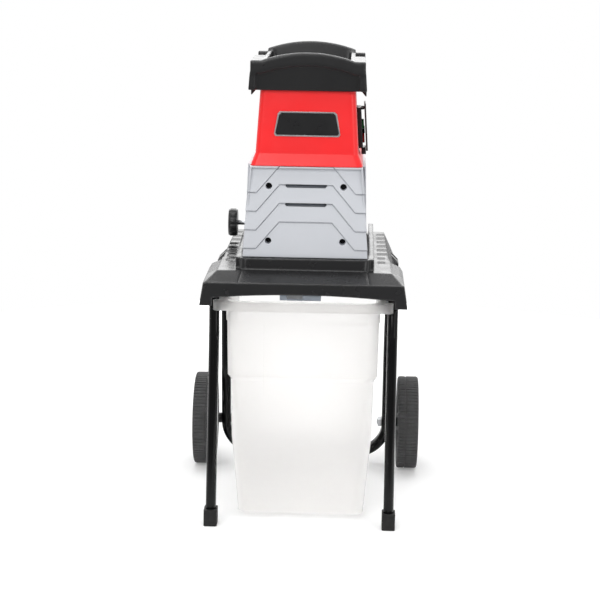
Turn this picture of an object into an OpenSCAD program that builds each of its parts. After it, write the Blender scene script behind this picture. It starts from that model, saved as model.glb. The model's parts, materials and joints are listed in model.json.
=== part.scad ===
// Garden shredder with a slow cutting roller on a tube frame with two wheels and a pull-out box.
// The front is -Y, up is +Z, the origin is on the floor under the middle.

/* [Frame] */
// Distance from front feet to wheel bolts
wheelbase = 430; // [420:2:440]
// Distance between middles of left and right legs
leg_span = 350; // [348:1:354]
// Width of flat oval tube across machine
tube_w = 20; // [18:1:20]
// Depth of flat oval tube along machine
tube_d = 30; // [26:1:32]
// Wall of tube
tube_wall = 1.5; // [1.2:0.1:2]
// Forward lean of front legs in degrees
front_lean = 9.4; // [8.6:0.2:10]
// Backward lean of rear frame in degrees
rear_lean = 8; // [7:0.5:9]
// Height of bend in front legs
bend_z = 375; // [360:5:390]
// Radius of bend in front legs
bend_r = 60; // [50:5:80]
// Radius of lower corners of rear frame
corner_r = 68; // [60:2:74]
// Height of cross bar of rear frame
bar_z = 27; // [24:1:32]
// Width of foot cap
foot_w = 26; // [25:0.5:30]
// Depth of foot cap
foot_d = 38; // [37:0.5:42]
// Height of foot cap
foot_h = 32; // [26:1:40]
// Sole under tube end
foot_sole = 5; // [4:0.5:8]
// Corner radius of foot cap
foot_r = 4; // [3:0.5:6]
// Gap between tube and its cap or socket, per side
tube_gap = 0.2; // [0.1:0.05:0.3]
// Wall of leg socket
socket_t = 4; // [3:0.5:5]
// Drop of front leg tops below break of shoulders
leg_drop = 8; // [7:0.5:10]
// Drop of rear tube tops below break of shoulders
rear_drop = 16; // [15:0.5:18]
// Reach of straight leg ends into bend
leg_lap = 1.5; // [1:0.25:2]
// Extra wall of bend on each face
bend_grow = 0.15; // [0.1:0.05:0.2]

/* [Wheels] */
// Outer diameter of wheel
wheel_d = 200; // [190:2:210]
// Width of tyre
wheel_w = 45; // [42:1:48]
// Thickness of tyre
tyre_t = 20; // [16:1:24]
// Gap from tube to tyre
wheel_off = 13; // [11:0.5:15]
// Diameter of wheel bolt
bolt_d = 12; // [10:0.5:14]
// Outer diameter of wheel hub
hub_d = 38; // [34:1:42]
// Running play round shaft, per side
run_play = 0.06; // [0.04:0.01:0.08]
// Gap between pieces that sit together
seat_gap = 0.3; // [0.25:0.05:0.4]
// Gap of press fit, per side
press_gap = 0.02; // [0.01:0.01:0.04]
// Height of wheel nut
nut_h = 8; // [7:0.5:10]
// Size of wheel nut over its corners
nut_d = 22; // [20:0.5:24]
// Length of bolt past its nut
bolt_end = 2; // [1:0.5:3]
// Overhang of bolt head, per side
bolt_over = 4; // [3:0.5:5]
// Thickness of bolt head
bolt_head = 4.7; // [4:0.1:5.5]
// Wall of wheel spacer
spacer_t = 5; // [4:0.5:6]
// Inset of hub from inner edge of tyre
hub_in = 1; // [0.5:0.25:2]
// Inset of hub from outer edge of tyre
hub_out = 8; // [7:0.5:9]
// Distance of wheel disc from inner end of hub
disc_in = 16; // [14:1:18]
// Thickness of wheel disc
disc_t = 8; // [6:0.5:10]
// Number of holes in wheel disc
disc_holes = 6; // [5:1:8]
// Thickness of rim of wheel
rim_wall = 5; // [4:0.5:6]
// Inset of rim from edges of tyre
rim_in = 2; // [1.5:0.25:3]
// Thickening of disc towards rim and hub
disc_foot = 3; // [2:0.5:4]
// Inset of tyre beads
bead_in = 3; // [2.5:0.25:4]
// Rounding of tyre edges
tyre_round = 6; // [5:0.5:7]
// Distance of tyre groove from inner edge
groove_at = 15; // [13:0.5:17]
// Width of tyre groove
tread_w = 4; // [3:0.5:5]
// Depth of tyre groove
tread_deep = 4; // [3:0.5:5]
// Overhang of wheel cap past hub
cap_over = 5; // [4:0.5:6]
// Wall of wheel cap
cap_wall = 3.5; // [3:0.25:4]
// Face of wheel cap
cap_t = 1.5; // [1.2:0.1:2]
// Overlap of wheel cap and hub
cap_lap = 3; // [2:0.5:4]

/* [Base] */
// Set-back of fascia from feet
fascia_set = 25; // [22:1:28]
// Length of base
base_l = 445; // [440:1:450]
// Half width at lower edge of shoulders
shoulder_x = 202.5; // [200:0.5:206]
// Lower edge of shoulders
skirt_z = 434; // [432:1:436]
// Half width at break of shoulders
break_x = 195; // [193:0.5:197]
// Height of break of shoulders
break_z = 480; // [478:1:482]
// Half width at top edge of shoulders
top_x = 189.5; // [188:0.5:191]
// Height of top edge of shoulders
top_z = 489; // [487:1:491]
// Half width at front edge of top
edge_x = 171; // [169:0.5:173]
// Height of front edge of top
edge_z = 497; // [495:1:499]
// Height of deck at rear
deck_z = 515; // [513:1:517]
// Half width of deck
deck_x = 160; // [158:0.5:161]
// Half width of sides at their lower edge
side_x = 187; // [185:0.5:188]
// Lower edge of sides
side_z = 455; // [453:1:457]
// Wall of base
base_wall = 4.5; // [4:0.5:5.5]
// Length of front slope up to its edge
slope_l = 46; // [43:1:49]
// Distance from rear to deck
deck_rear = 10; // [8:1:12]
// Width of chamfer along deck at shoulders
deck_bevel = 8; // [6:0.5:10]
// Length of shoulders
shoulder_l = 160; // [155:1:165]
// Tilt of facets at front corners
corner_tilt = 25; // [24:0.5:26]
// Turn of facets at front corners
corner_turn = 22; // [20:1:24]
// Half width at rear tube humps
hump_x = 191; // [190.5:0.5:193]
// Break of rear tube humps
hump_z = 466; // [465:0.5:468]
// Chamfer of rear tube humps
hump_in = 14; // [13:0.5:15]
// Length of rear tube humps
hump_l = 56; // [52:1:60]
// Lower edge of fascia in middle
arch_z = 458; // [456:0.5:460]
// Drop of fascia edge towards its ends
arch_drop = 8; // [6:0.5:10]
// Half width of fascia opening
arch_x = 177; // [175:0.5:178]
// Half width of pedestal
ped_x = 128; // [126:0.5:129]
// Front overhang of pedestal past tower
ped_over = 11; // [9:0.5:13]
// Height of pedestal top
ped_z = 520; // [518:0.5:521]
// Thickness of seat gasket
gasket_t = 1; // [0.8:0.1:1.2]
// Overhang of seat gasket past tower
gasket_over = 2; // [1.5:0.25:2]
// Corner radius of pedestal
ped_r = 14; // [10:1:16]
// Height of tray floor under drive
tray_z = 476; // [475:0.5:477]
// Thickness of tray floor
tray_t = 4; // [3.5:0.5:4.5]
// Half width of well for drive
tray_x = 100; // [99:0.5:101]
// Wall of well
tray_wall = 5; // [4:0.5:6]
// Distance of well from front of tower
tray_front = 6; // [5:0.5:8]
// Distance of well from rear of tower
tray_rear = 2; // [2:0.5:4]
// Number of rib slots on side
rib_n = 8; // [7:1:8]
// Pitch of rib slots
rib_pitch = 38.6; // [37:0.2:39]
// Width of rib slot
rib_w = 17; // [14:1:20]
// Depth of rib slot
rib_deep = 2.5; // [2:0.25:3]
// Half width to inner ends of rib slots
rib_x0 = 144; // [143:0.5:146]
// Half width to outer ends of rib slots
rib_x1 = 158; // [156:0.5:160]
// Shift of rib slots towards rear
rib_shift = 48; // [44:1:50]
// Distance of side ribs from lower edge
rib_foot = 12; // [10:0.5:14]
// Half width between two front grooves at deck
groove_x = 116.4; // [115:0.2:118]
// Outward run of front groove on its way down
groove_run = 11; // [9:0.5:13]
// Width of front groove
groove_w = 2; // [1.5:0.25:3]
// Depth of front groove
groove_deep = 1.5; // [1:0.25:2]
// Outer half width of two strips beside tower
strip_x = 136; // [134:0.5:137]
// Distance from middle of tower to rear end of strips
strip_end = 181; // [175:1:190]
// Reach of strips into deck and pedestal
strip_lap = 2; // [1.5:0.25:2]
// Height of strips at rear
strip_z = 538; // [534:0.5:540]

/* [Tower] */
// Distance from feet to middle of tower
tower_set = 244; // [243:0.5:245]
// Half depth of tower at its foot
tower_hd = 156; // [155:0.5:157]
// Half width of grey cover at its foot
cover_x = 123; // [122:0.5:124]
// Half width of grey cover at its top
cover_top_x = 111; // [110:0.5:112]
// Top of grey part
grey_z = 699; // [698:0.5:702]
// Backward lean of chevron faces in degrees
cover_lean = 7; // [6.5:0.25:7.5]
// Step between two chevron faces
step = 2; // [1.5:0.25:2.5]
// Height between two chevron lines
chev_pitch = 36.6; // [36:0.2:37]
// Half width of flat middle of chevron line
chev_flat = 52; // [50:1:54]
// Half width at lower knee of chevron line
chev_knee = 97; // [95:1:99]
// Drop of chevron line
chev_drop = 53; // [51:1:55]
// Number of chevron lines
chev_n = 4; // [4:1:4]
// Height of first chevron line above top of cover
chev_top = 1.6; // [1:0.2:2]
// Width of groove along chevron line
chev_w = 2; // [1.6:0.1:2.4]
// Depth of groove along chevron line
chev_deep = 1.6; // [1.2:0.1:2]
// Step between two chevron faces at sides
side_step = 1.2; // [1:0.1:1.4]
// Thickness of chevron faces
face_t = 6; // [5:0.5:7]
// Width of solid edge round inside of cover
face_edge = 11; // [9:0.5:13]
// Height of flat panel at foot of cover
panel_h = 49; // [46:1:52]
// Half width of flat panel at its foot
panel_x = 93; // [90:1:95]
// Half width of flat panel at its top
panel_top_x = 64; // [60:1:68]
// Turn of flat panel against chevron faces in degrees
panel_turn = 4; // [3:0.5:5]
// Wall of housings
wall = 3; // [2.5:0.25:3.5]
// Depth of grey cover behind its front
cover_d = 46; // [45:1:48]
// Half width of screw places
screw_x = 73; // [72:0.5:74]
// Height of upper screws
screw_hi_z = 660; // [658:1:662]
// Height of lower screws
screw_lo_z = 552.6; // [551:0.2:554]
// Diameter of screw recess
recess_d = 13; // [12:0.5:14]
// Wall of screw post
post_t = 3; // [2.5:0.25:3.5]
// Floor of screw post
post_floor = 6; // [5:0.5:7]
// Distance of post ends from rear of cover
post_rear = 6; // [5:0.5:7]
// Play round screw head, per side
head_play = 0.5; // [0.3:0.1:0.6]
// Height of screw head
head_h = 7; // [6:0.5:8]
// Radius of socket in screw head
head_socket = 2.6; // [2.2:0.2:3]
// Depth of socket in screw head
head_deep = 3; // [2.5:0.25:3.5]
// Half width of vent
vent_x = 40.5; // [38:0.5:43]
// Height of vent
vent_h = 7; // [5:0.5:8]
// Cut-off at lower corners of vent
vent_cut = 3; // [2:0.5:4]
// Set-back of grey housing from cover at its sides
grey_in = 2; // [1.5:0.25:2.5]
// Widening of grey housing against cover at its top
grey_out = 5; // [4:0.5:6]
// Backward taper of grey housing
grey_taper = 6; // [5:0.5:7]
// Half width of red tower at its top
red_top_x = 93; // [92:0.5:94]
// Half width of red tower above flare
red_x = 101; // [100:0.5:102]
// Half width of red tower at its foot
red_foot_x = 110; // [109:0.5:110]
// Height where the flare of red tower ends
flare_z = 723; // [720:1:726]
// Top of red tower
red_z = 846; // [844:0.5:848]
// Half depth of red tower at its top
red_top_hd = 132; // [131:0.5:133]
// Backward growth of red tower from its top to flare
red_grow = 4; // [3:0.5:5]
// Backward growth of red tower from its top to its foot
red_foot_grow = 12; // [11:0.5:13]
// Width of ledge inside the grey top under red tower
grey_ledge = 16; // [14:0.5:18]
// Corner radius of towers
tower_r = 12; // [10:1:14]
// Half width of badge at its top
badge_top_x = 57; // [55:0.5:59]
// Half width of badge at its foot
badge_x = 65.4; // [63:0.2:67]
// Foot of badge
badge_z = 757; // [755:0.5:760]
// Height of badge
badge_h = 48.5; // [46:0.5:50]
// Thickness of badge
badge_t = 1.6; // [1.2:0.1:2]
// Cut-off at corners of badge
badge_cut = 4; // [3:0.5:5]
// Height of badge border above plate
badge_rise = 0.5; // [0.3:0.1:0.7]
// Width of badge border
badge_b = 2.6; // [2:0.2:3.2]

/* [Hopper] */
// Height of collar
collar_h = 35; // [33:0.5:36]
// Half width of collar at its foot
collar_x = 115; // [114:0.5:116]
// Half width of collar at ears
ear_x = 111.5; // [110.5:0.5:112]
// Height of an ear above collar
ear_h = 23; // [21:0.5:24]
// Length of front ear
ear_front = 168; // [160:1:176]
// Length of rear ear
ear_rear = 26; // [22:1:32]
// Half width of rim
rim_x = 91; // [90:0.5:92]
// Wall of rim
rim_t = 8; // [7:0.5:9]
// Depth of front and rear rim bands
band_d = 12; // [11:0.5:14]
// Set-back of rear rim from rear ears
rim_back = 10; // [8:0.5:12]
// Inward run of collar at its foot
collar_in = 14; // [12:0.5:16]
// Rise of rim in middle of front and back
rim_rise = 16; // [14:0.5:18]
// Rise of rear rim over front rim
rim_up = 6; // [4:0.5:8]
// Height of arched rim band
band_h = 25; // [23:0.5:27]
// Distance from front of collar to tips of its side skirts
tip_set = 90; // [80:1:100]
// Drop of side skirts below collar
tip_drop = 16; // [14:0.5:18]
// Width of side skirts
tip_w = 17; // [15:0.5:18]
// Width of feed chute at its foot
chute_w = 100; // [96:1:104]
// Wall of feed chute
chute_t = 2; // [1.6:0.2:2.4]
// Gap between feed chute and what is round it
chute_gap = 3; // [2.5:0.25:3.5]
// Height of straight part of feed chute above grey part
chute_up = 8; // [6:0.5:10]
// Gap between funnel and red tower
funnel_gap = 8; // [7:0.5:9]
// Corner radius of funnel
funnel_r = 6; // [5:0.5:8]
// Thickness of funnel flange
flange_t = 3; // [2.5:0.25:3.5]
// Height of hopper screws above foot of collar
hop_screw_z = 14; // [12:0.5:16]
// Distance of hopper screws from middle of tower
hop_screw_y = 60; // [55:1:65]
// Radius of hopper screw
hop_screw_r = 5; // [4.5:0.25:5.5]
// Depth of hopper screw recess
hop_screw_d = 5; // [4.5:0.25:5.5]
// Height of hopper screw
hop_screw_h = 2.6; // [2.2:0.2:3]

/* [Drive] */
// Distance of roller axis to right of middle
roller_x = 10; // [9:0.5:11]
// Height of roller axis above tray
roller_up = 72; // [71:0.5:73]
// Distance of roller behind middle of tower
roller_off = 96; // [95:0.5:97]
// Outer diameter of cutting roller
roller_d = 90; // [88:0.5:91]
// Length of cutting roller
roller_l = 74; // [70:1:76]
// Number of teeth round roller
roller_n = 8; // [6:1:9]
// Number of rows of teeth
roller_rows = 6; // [5:1:7]
// Twist from one row to next in degrees
row_twist = 7; // [5:0.5:9]
// Depth of roller teeth
tooth_deep = 9; // [7:0.5:10]
// Diameter of roller shaft
shaft_d = 20; // [18:0.5:22]
// Inside length of cutting chamber
chamber_l = 82; // [80:1:84]
// Inside half width of cutting chamber
chamber_x = 60; // [59:0.5:61]
// Wall of cutting chamber
chamber_t = 7; // [6:0.5:7]
// Height of cutting chamber above roller axis
chamber_up = 74; // [72:1:76]
// Outer diameter of roller bearing
bearing_d = 42; // [40:0.5:44]
// Teeth of pinion
pin_n = 10; // [10:1:10]
// Teeth of layshaft gear
gear1_n = 60; // [60:1:60]
// Teeth of output gear
gear2_n = 50; // [50:1:50]
// Module of first pair
mod1 = 1.75; // [1.7:0.05:1.75]
// Module of second pair
mod2 = 2.4; // [2.3:0.05:2.4]
// Width of first pair
gear1_w = 16; // [14:0.5:16]
// Width of second pair
gear2_w = 20; // [16:0.5:20]
// Direction from roller to layshaft in degrees
lay_dir = 120; // [118:1:122]
// Direction from layshaft to motor in degrees
motor_dir = -40; // [-42:1:-38]
// Radius of motor can
motor_r = 62; // [60:0.5:63]
// Length of motor can
motor_l = 80; // [76:1:82]
// Thickness of motor shield
shield_t = 8; // [7:0.5:8]
// Radius of rotor
rotor_r = 40; // [38:0.5:41]
// Diameter of motor shaft
mshaft_d = 12; // [11:0.5:12.5]
// Diameter of layshaft
lay_d = 14; // [12:0.5:16]
// Wall of gearbox
gearbox_t = 6; // [5:0.5:6]
// Inside depth of gearbox
gearbox_d = 50; // [48:0.5:50]
// Thickness of gearbox cover
gcover_t = 8; // [7:0.5:9]
// Half width of gearbox foot
gearbox_foot = 48; // [44:1:50]
// Room round gears in gearbox
gear_room = 3; // [2.5:0.25:3.5]
// Gap beside gear
gear_gap = 3.5; // [3:0.25:4]
// Height of gear teeth above pitch circle in modules
gear_add = 0.8; // [0.75:0.05:0.85]
// Depth of gear teeth below pitch circle in modules
gear_ded = 1.1; // [1.1:0.05:1.2]
// Pressure angle of gears in degrees
gear_angle = 25; // [24:0.5:26]
// Thinning of gear teeth, in degrees times their number
gear_slack = 3.4; // [3:0.2:4]
// Wall of layshaft bushes
bush_t = 4; // [3.5:0.25:4.5]
// Thickness of motor bearings
ring_t = 10; // [9:0.5:10.5]
// Gap between rotor and can
rotor_gap = 1.5; // [1.2:0.1:2]
// Radius of cooling fan
fan_r = 44; // [40:0.5:46]
// Depth of cooling fan
fan_d = 9; // [8:0.5:9]
// Thickness of fan disc
fan_t = 3; // [2.5:0.25:3.5]
// Thickness of fan blade
blade_t = 2; // [1.5:0.25:2.5]
// Wall of fan hub
fan_hub = 5; // [4:0.5:6]
// Room round roller shaft
shaft_room = 2; // [1.5:0.25:2.5]
// Gap between two rows of teeth
row_gap = 1; // [0.8:0.1:1.2]

/* [Adjuster] */
// Diameter of knob
knob_d = 57; // [52:1:58]
// Thickness of knob
knob_t = 18; // [16:0.5:20]
// Distance of knob's outer face from middle
knob_x = 167; // [165:0.5:169]
// Diameter of spindle
spindle_d = 10; // [9:0.5:11]
// Thickness of pressure plate
plate_t = 14; // [13:0.5:15]
// Gap from plate to roller teeth
plate_gap = 4.5; // [4.2:0.1:5]
// Height of plate
plate_h = 68; // [64:1:70]
// Depth of plate's hollow face
plate_lip = 10; // [8:0.5:11]
// Play at ends of plate
plate_play = 0.6; // [0.5:0.05:0.8]
// Depth of spindle bore in plate
plate_bore = 9; // [8.5:0.25:9.5]
// Reach of spindle into plate
spindle_in = 4; // [3.5:0.25:4.5]
// Room round spindle in housing
spindle_room = 2; // [1.5:0.25:2.5]
// Length of spindle boss on chamber
boss_l = 14; // [12:0.5:16]
// Drop of spindle below roller axis
knob_drop = 3; // [2:0.5:4]
// Face of knob over spindle
knob_face = 6; // [5:0.5:7]
// Height of edges of knob
knob_edge = 3; // [2:0.5:4]
// Number of flutes round knob
knob_n = 12; // [10:1:14]
// Radius of flute
flute_r = 4; // [3:0.5:5]

/* [Switch] */
// Distance of switch in front of middle of tower
switch_off = 22; // [15:1:30]
// Width of switch body
switch_w = 62; // [58:1:66]
// Foot of switch body
switch_z = 727; // [726:0.5:730]
// Height of switch body
switch_h = 80; // [78:0.5:82]
// Depth of switch body
switch_d = 9; // [8.5:0.5:10]
// Thickness of switch lid
lid_t = 3.5; // [3:0.25:4]
// Diameter of push button
button_d = 20; // [18:0.5:22]
// Stroke of push button
stroke = 3; // [2.5:0.25:3]
// Distance of buttons in front of middle of switch
button_off = 8; // [6:0.5:10]
// Height of start button above foot of switch
start_z = 46; // [44:0.5:48]
// Height of stop button above foot of switch
stop_z = 18; // [16:0.5:20]
// Length of push button
button_l = 7; // [6.5:0.25:7.5]
// Height of push button above body
button_up = 4; // [3.5:0.25:4.5]
// Play round button, per side
button_play = 0.4; // [0.3:0.05:0.5]
// Radius of direction switch
turn_r = 8; // [7:0.5:9]
// Distance of direction switch behind middle of switch
turn_off = 18; // [17:0.5:19]
// Height of direction switch above foot of switch
turn_z = 32; // [30:0.5:34]
// Depth of seat of direction switch
turn_deep = 4; // [3.5:0.25:4.5]
// Width of handle of direction switch
turn_w = 4; // [3:0.5:5]
// Gap between switch body and its lid
lid_gap = 6; // [5.5:0.25:6.5]
// Overhang of lid at its foot and little more at its top
lid_over = 6; // [5:0.5:7]
// Radius of hinge pin
hinge_r = 1.2; // [1:0.1:1.4]
// Radius of hinge lugs
lug_r = 2; // [1.8:0.1:2.2]
// Distance of hinge pin from body
hinge_out = 3; // [2.75:0.25:3.25]
// Distance of hinge lugs from middle
hinge_y = 16; // [14:0.5:18]
// Width of hinge lug
lug_w = 4; // [3:0.5:5]
// Distance of inlet from tower
inlet_x = 5.5; // [5:0.25:6]
// Half width of inlet
inlet_w = 20; // [18:0.5:22]
// Height of inlet
inlet_h = 14; // [13:0.5:16]
// Wall of inlet
inlet_t = 2; // [1.8:0.1:2.2]
// Half distance between inlet pins
pin_y = 9; // [8:0.5:10]
// Radius of an inlet pin
pin_r = 1.6; // [1.4:0.1:1.8]
// Length of an inlet pin
pin_l = 8; // [7:0.5:9]

/* [Box] */
// Set-back of box front from feet
box_set = 18; // [17:0.5:19]
// Length of box
box_l = 384; // [380:1:386]
// Top of box rim
rim_z = 444; // [443.5:0.5:444.5]
// Height of box rim
rim_h = 18; // [17.5:0.5:18.5]
// Half width of front flange
flange_x = 175; // [173:0.5:176]
// Half width of side rim
side_rim_x = 161; // [160:0.5:161.5]
// Half width of body under rim
body_x = 149.5; // [148.5:0.5:150]
// Half width of body above ledge
ledge_x = 147; // [146:0.5:148]
// Half width of body below ledge
low_x = 140.6; // [139:0.2:142]
// Half width of waist
waist_x = 138.5; // [137:0.5:140]
// Height of waist
waist_z = 168; // [160:1:176]
// Half width of bottom
floor_x = 125; // [122:0.5:128]
// Height of ledge
ledge_z = 284; // [281:1:287]
// Rise of ledge
ledge_h = 9; // [8:0.5:10]
// Inset of body ends under rim
body_set = 8; // [7:0.5:9]
// Inset of ends from rim down to ledge
end_in = 2; // [1.5:0.25:2.5]
// Inset of ends at ledge
ledge_set = 4; // [3:0.5:5]
// Inset of ends from waist to bottom
foot_set = 8; // [7:0.5:9]
// Corner radius of body
box_r = 24; // [20:1:26]
// Corner radius of rim
rim_corner = 14; // [12:1:16]
// Corner radius of flange
flange_r = 10; // [8:0.5:11]
// Depth of flange
flange_d = 24; // [22:0.5:26]
// Wall of rim
skirt_t = 3; // [2.5:0.25:3.5]
// Lower edge of band under rim
rib_top = 403; // [400:1:406]
// Height of band and rib above face
rib_out = 1.2; // [1:0.1:1.4]
// Distance of rib from middle, to right
rib_at = -78; // [-82:1:-74]
// Lower end of rib
rib_low = 245; // [240:1:250]
// Height of bottom above floor
box_floor_z = 12; // [11:0.5:14]
// Wall of box
box_t = 2.6; // [2.2:0.2:3]
// Thickness of rail
rail_t = 2; // [1.8:0.1:2.2]
// Gap between rail and body of box
rail_gap = 3; // [2:0.5:4]
// Height of upright side of rail
rail_h = 20; // [18:1:22]

/* [Interlock] */
// Width of lock body
lock_w = 80; // [76:1:84]
// Distance of lock body to left of middle
lock_off = 6; // [4:0.5:8]
// Depth of lock body
lock_d = 24; // [22:0.5:26]
// Gap between box rim and lock body
lock_gap = 2.5; // [2:0.25:3]
// Gap between lock body and slope above it
lock_under = 6; // [5:0.5:8]
// Width of plunger
plunger_w = 32; // [30:0.5:34]
// Distance of plunger to left of middle
plunger_off = 17; // [15:0.5:19]
// Depth of plunger
plunger_d = 10; // [9:0.5:11]
// Distance of plunger from front of lock body
plunger_set = 6; // [5:0.5:7]
// Height of plunger
plunger_h = 15.4; // [14:0.2:16]
// Gap between box rim and plunger
plunger_gap = 0.6; // [0.5:0.05:0.8]
// Travel room above plunger
plunger_room = 4; // [3.5:0.25:5]
// Play round plunger, per side
plunger_play = 0.4; // [0.3:0.05:0.5]
// Height of window in front of plunger
window_h = 9; // [8:0.5:10]
// Height of window above box rim
window_z = 5; // [4:0.5:6]

/* [Hidden] */
$fn = 64;
black = [0.055, 0.055, 0.06];
rubber = [0.03, 0.03, 0.03];
steel = [0.63, 0.63, 0.65];
dark_steel = [0.45, 0.46, 0.48];
alloy = [0.66, 0.67, 0.69];
grey = [0.61, 0.62, 0.64];
brass = [0.72, 0.58, 0.3];
foot_y = -(wheelbase + wheel_d / 2 - foot_d / 2) / 2;
axle_y = foot_y + wheelbase;
axle_z = wheel_d / 2;
leg_x = leg_span / 2;
leg_in = leg_x - tube_w / 2;
leg_out = leg_x + tube_w / 2;
leg_run = (bend_z - bend_r * sin(front_lean) - foot_sole) / cos(front_lean);
leg_y = foot_y + bend_r * (1 - cos(front_lean)) + leg_run * sin(front_lean);
leg_top_z = break_z - leg_drop;
rear_top = (break_z - rear_drop - axle_z) / cos(rear_lean);
base_y0 = foot_y + fascia_set;
base_y1 = base_y0 + base_l;
wheel_x0 = leg_out + wheel_off;
wheel_x1 = wheel_x0 + wheel_w;
hub_x0 = wheel_x0 + hub_in;
hub_x1 = wheel_x1 - hub_out;
rim_r = wheel_d / 2 - tyre_t;
hub_r = hub_d / 2;
disc_x0 = hub_x0 + disc_in;
disc_x1 = disc_x0 + disc_t;
cap_r = hub_r + cap_over;
over = 1;
far = 300;
tower_y = foot_y + tower_set;
grey_foot_z = ped_z + gasket_t;
ped_y0 = tower_y - tower_hd - ped_over;
ped_y1 = tower_y + tower_hd + ped_over;
tray_y0 = tower_y - tower_hd + tray_front;
tray_y1 = tower_y + tower_hd - tray_rear;
hump_y = axle_y - (side_z - axle_z) * tan(rear_lean);
side_run = (side_x - deck_x) / (deck_z - side_z);
side_inset = sqrt(1 + side_run * side_run);
tray_top = tray_z + tray_t;
cover_y0 = tower_y - tower_hd;
cover_y1 = cover_y0 + cover_d;
grey_x = cover_x - grey_in;
grey_top_x = cover_top_x + grey_out;
grey_hd = tower_hd - grey_in;
grey_top_hd = grey_hd - grey_taper;
red_foot_hd = red_top_hd + red_foot_grow;
red_hd = red_top_hd + red_grow;
cover_foot_x = cover_x + chev_n * side_step;
cover_low_x = cover_side(grey_foot_z, chev_n);
cover_back_x = cover_top_x - over;
post_y1 = cover_y1 - post_rear;
recess_y1 = post_y1 - post_floor;
red_foot_z = grey_z + seat_gap;
red_lean = atan((red_hd - red_top_hd) / (red_z - flare_z));
collar_z = red_z + seat_gap;
collar_top = collar_z + collar_h;
ear_top = collar_top + ear_h;
hop_y0 = tower_y - tower_hd;
hop_y1 = tower_y + tower_hd;
rim_y1 = hop_y1 - rim_back;
core_x = (rim_x + ear_x) / 2;
arch_r = (arch_x * arch_x + arch_drop * arch_drop) / (2 * arch_drop);
rim_arc_r = (rim_x * rim_x + rim_rise * rim_rise) / (2 * rim_rise);
roller_y = tower_y + roller_off;
roller_z = tray_top + roller_up;
chamber_z1 = roller_z + chamber_up;
chamber_y0 = roller_y - chamber_l / 2 - chamber_t;
chamber_y1 = roller_y + chamber_l / 2 + chamber_t;
gc_y1 = chamber_y0;
gc_y0 = gc_y1 - gcover_t;
gb_y0 = gc_y0 - gearbox_d - gearbox_t;
gear2_y1 = gc_y0 - gear_gap;
gear2_y0 = gear2_y1 - gear2_w;
gear1_y1 = gear2_y0 - gear_gap;
gear1_y0 = gear1_y1 - gear1_w;
dist1 = mod1 * (pin_n + gear1_n) / 2;
dist2 = mod2 * (pin_n + gear2_n) / 2;
lay_x = roller_x + dist2 * cos(lay_dir);
lay_z = roller_z + dist2 * sin(lay_dir);
motor_x = lay_x + dist1 * cos(motor_dir);
motor_z = lay_z + dist1 * sin(motor_dir);
gear1_tip = mod1 * (gear1_n / 2 + gear_add);
gear2_tip = mod2 * (gear2_n / 2 + gear_add);
shield_y1 = gb_y0;
can_y1 = shield_y1 - shield_t;
can_y0 = can_y1 - motor_l;
shield_y0 = can_y0 - shield_t;
fan_y0 = shield_y0 - fan_d - over;
shaft_y1 = chamber_y1 - over;
knob_z = roller_z - knob_drop;
plate_x1 = roller_x - roller_d / 2 - plate_gap;
plate_x0 = plate_x1 - plate_t;
chute_y0 = roller_y - chamber_l / 2 + chute_gap;
chute_y1 = tower_y + red_top_hd - wall - chute_t - chute_gap;
chute_z0 = chamber_z1 + seat_gap;
chute_z1 = grey_z + chute_up;
funnel_x = red_top_x - wall - chute_t - funnel_gap;
funnel_y0 = tower_y - red_top_hd + wall + funnel_gap;
switch_y = tower_y - switch_off;
switch_lean = atan((red_x - red_top_x) / (red_z - flare_z));
switch_x = red_x - (switch_z - flare_z) * tan(switch_lean);
hinge_x = switch_d + hinge_out;
hinge_z = switch_h - lug_r - over / 2;
lid_x = switch_d + lid_gap;
inlet_x1 = lid_x - button_play;
box_y0 = foot_y + box_set;
box_y1 = box_y0 + box_l;
body_y0 = box_y0 + body_set;
body_y1 = box_y1 - body_set;
top_in = [body_x, 0];
ledge_in = [ledge_x, end_in];
low_in = [low_x, end_in + ledge_set];
waist_in = [waist_x, end_in + ledge_set];
foot_in = [floor_x, end_in + ledge_set + foot_set];
rail_top = rim_z - rim_h - seat_gap;
rail_y0 = leg_y - tube_d / 2;
rail_y1 = axle_y - (rim_z - axle_z) * tan(rear_lean) + tube_d / 2;
lock_y0 = base_y0 + base_wall;
lock_x0 = -lock_off - lock_w / 2;
lock_x1 = -lock_off + lock_w / 2;
plunger_x0 = -plunger_off - plunger_w / 2;
plunger_x1 = -plunger_off + plunger_w / 2;
plunger_y0 = lock_y0 + plunger_set;
plunger_y1 = plunger_y0 + plunger_d;
plunger_z1 = rim_z + plunger_gap + plunger_h;

// A flat shape in X and Z, drawn from y0 to y1
module along_y(y0, y1) {
    translate([0, y1, 0]) rotate([90, 0, 0]) linear_extrude(y1 - y0) children();
}

// A flat shape in Y and Z, drawn from x0 to x1
module along_x(x0, x1) {
    translate([x0, 0, 0]) rotate([90, 0, 90]) linear_extrude(x1 - x0) children();
}

// A round bar along Y
module ycyl(x, z, y0, y1, r) {
    translate([x, y0, z]) rotate([-90, 0, 0]) cylinder(h = y1 - y0, r = r);
}

// A round bar along X
module xcyl(y, z, x0, x1, r) {
    translate([x0, y, z]) rotate([0, 90, 0]) cylinder(h = x1 - x0, r = r);
}

// A box between two corners
module block(x0, x1, y0, y1, z0, z1) {
    translate([x0, y0, z0]) cube([x1 - x0, y1 - y0, z1 - z0]);
}

// The same on the right and on the left
module both() {
    children();
    mirror([1, 0, 0]) children();
}

// The same at the rear and at the front
module both_ways() {
    children();
    mirror([0, 1, 0]) children();
}

// Section of a flat oval tube, w across and d deep
module oval(w, d) {
    square([w, d - w], center = true);
    for (s = [-1, 1]) translate([0, s * (d - w) / 2]) circle(w / 2);
}

// Section of the tube, its wall grown by g on both faces
module tube_section(g = 0) {
    difference() {
        oval(tube_w + 2 * g, tube_d + 2 * g);
        oval(tube_w - 2 * tube_wall - 2 * g, tube_d - 2 * tube_wall - 2 * g);
    }
}

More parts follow.
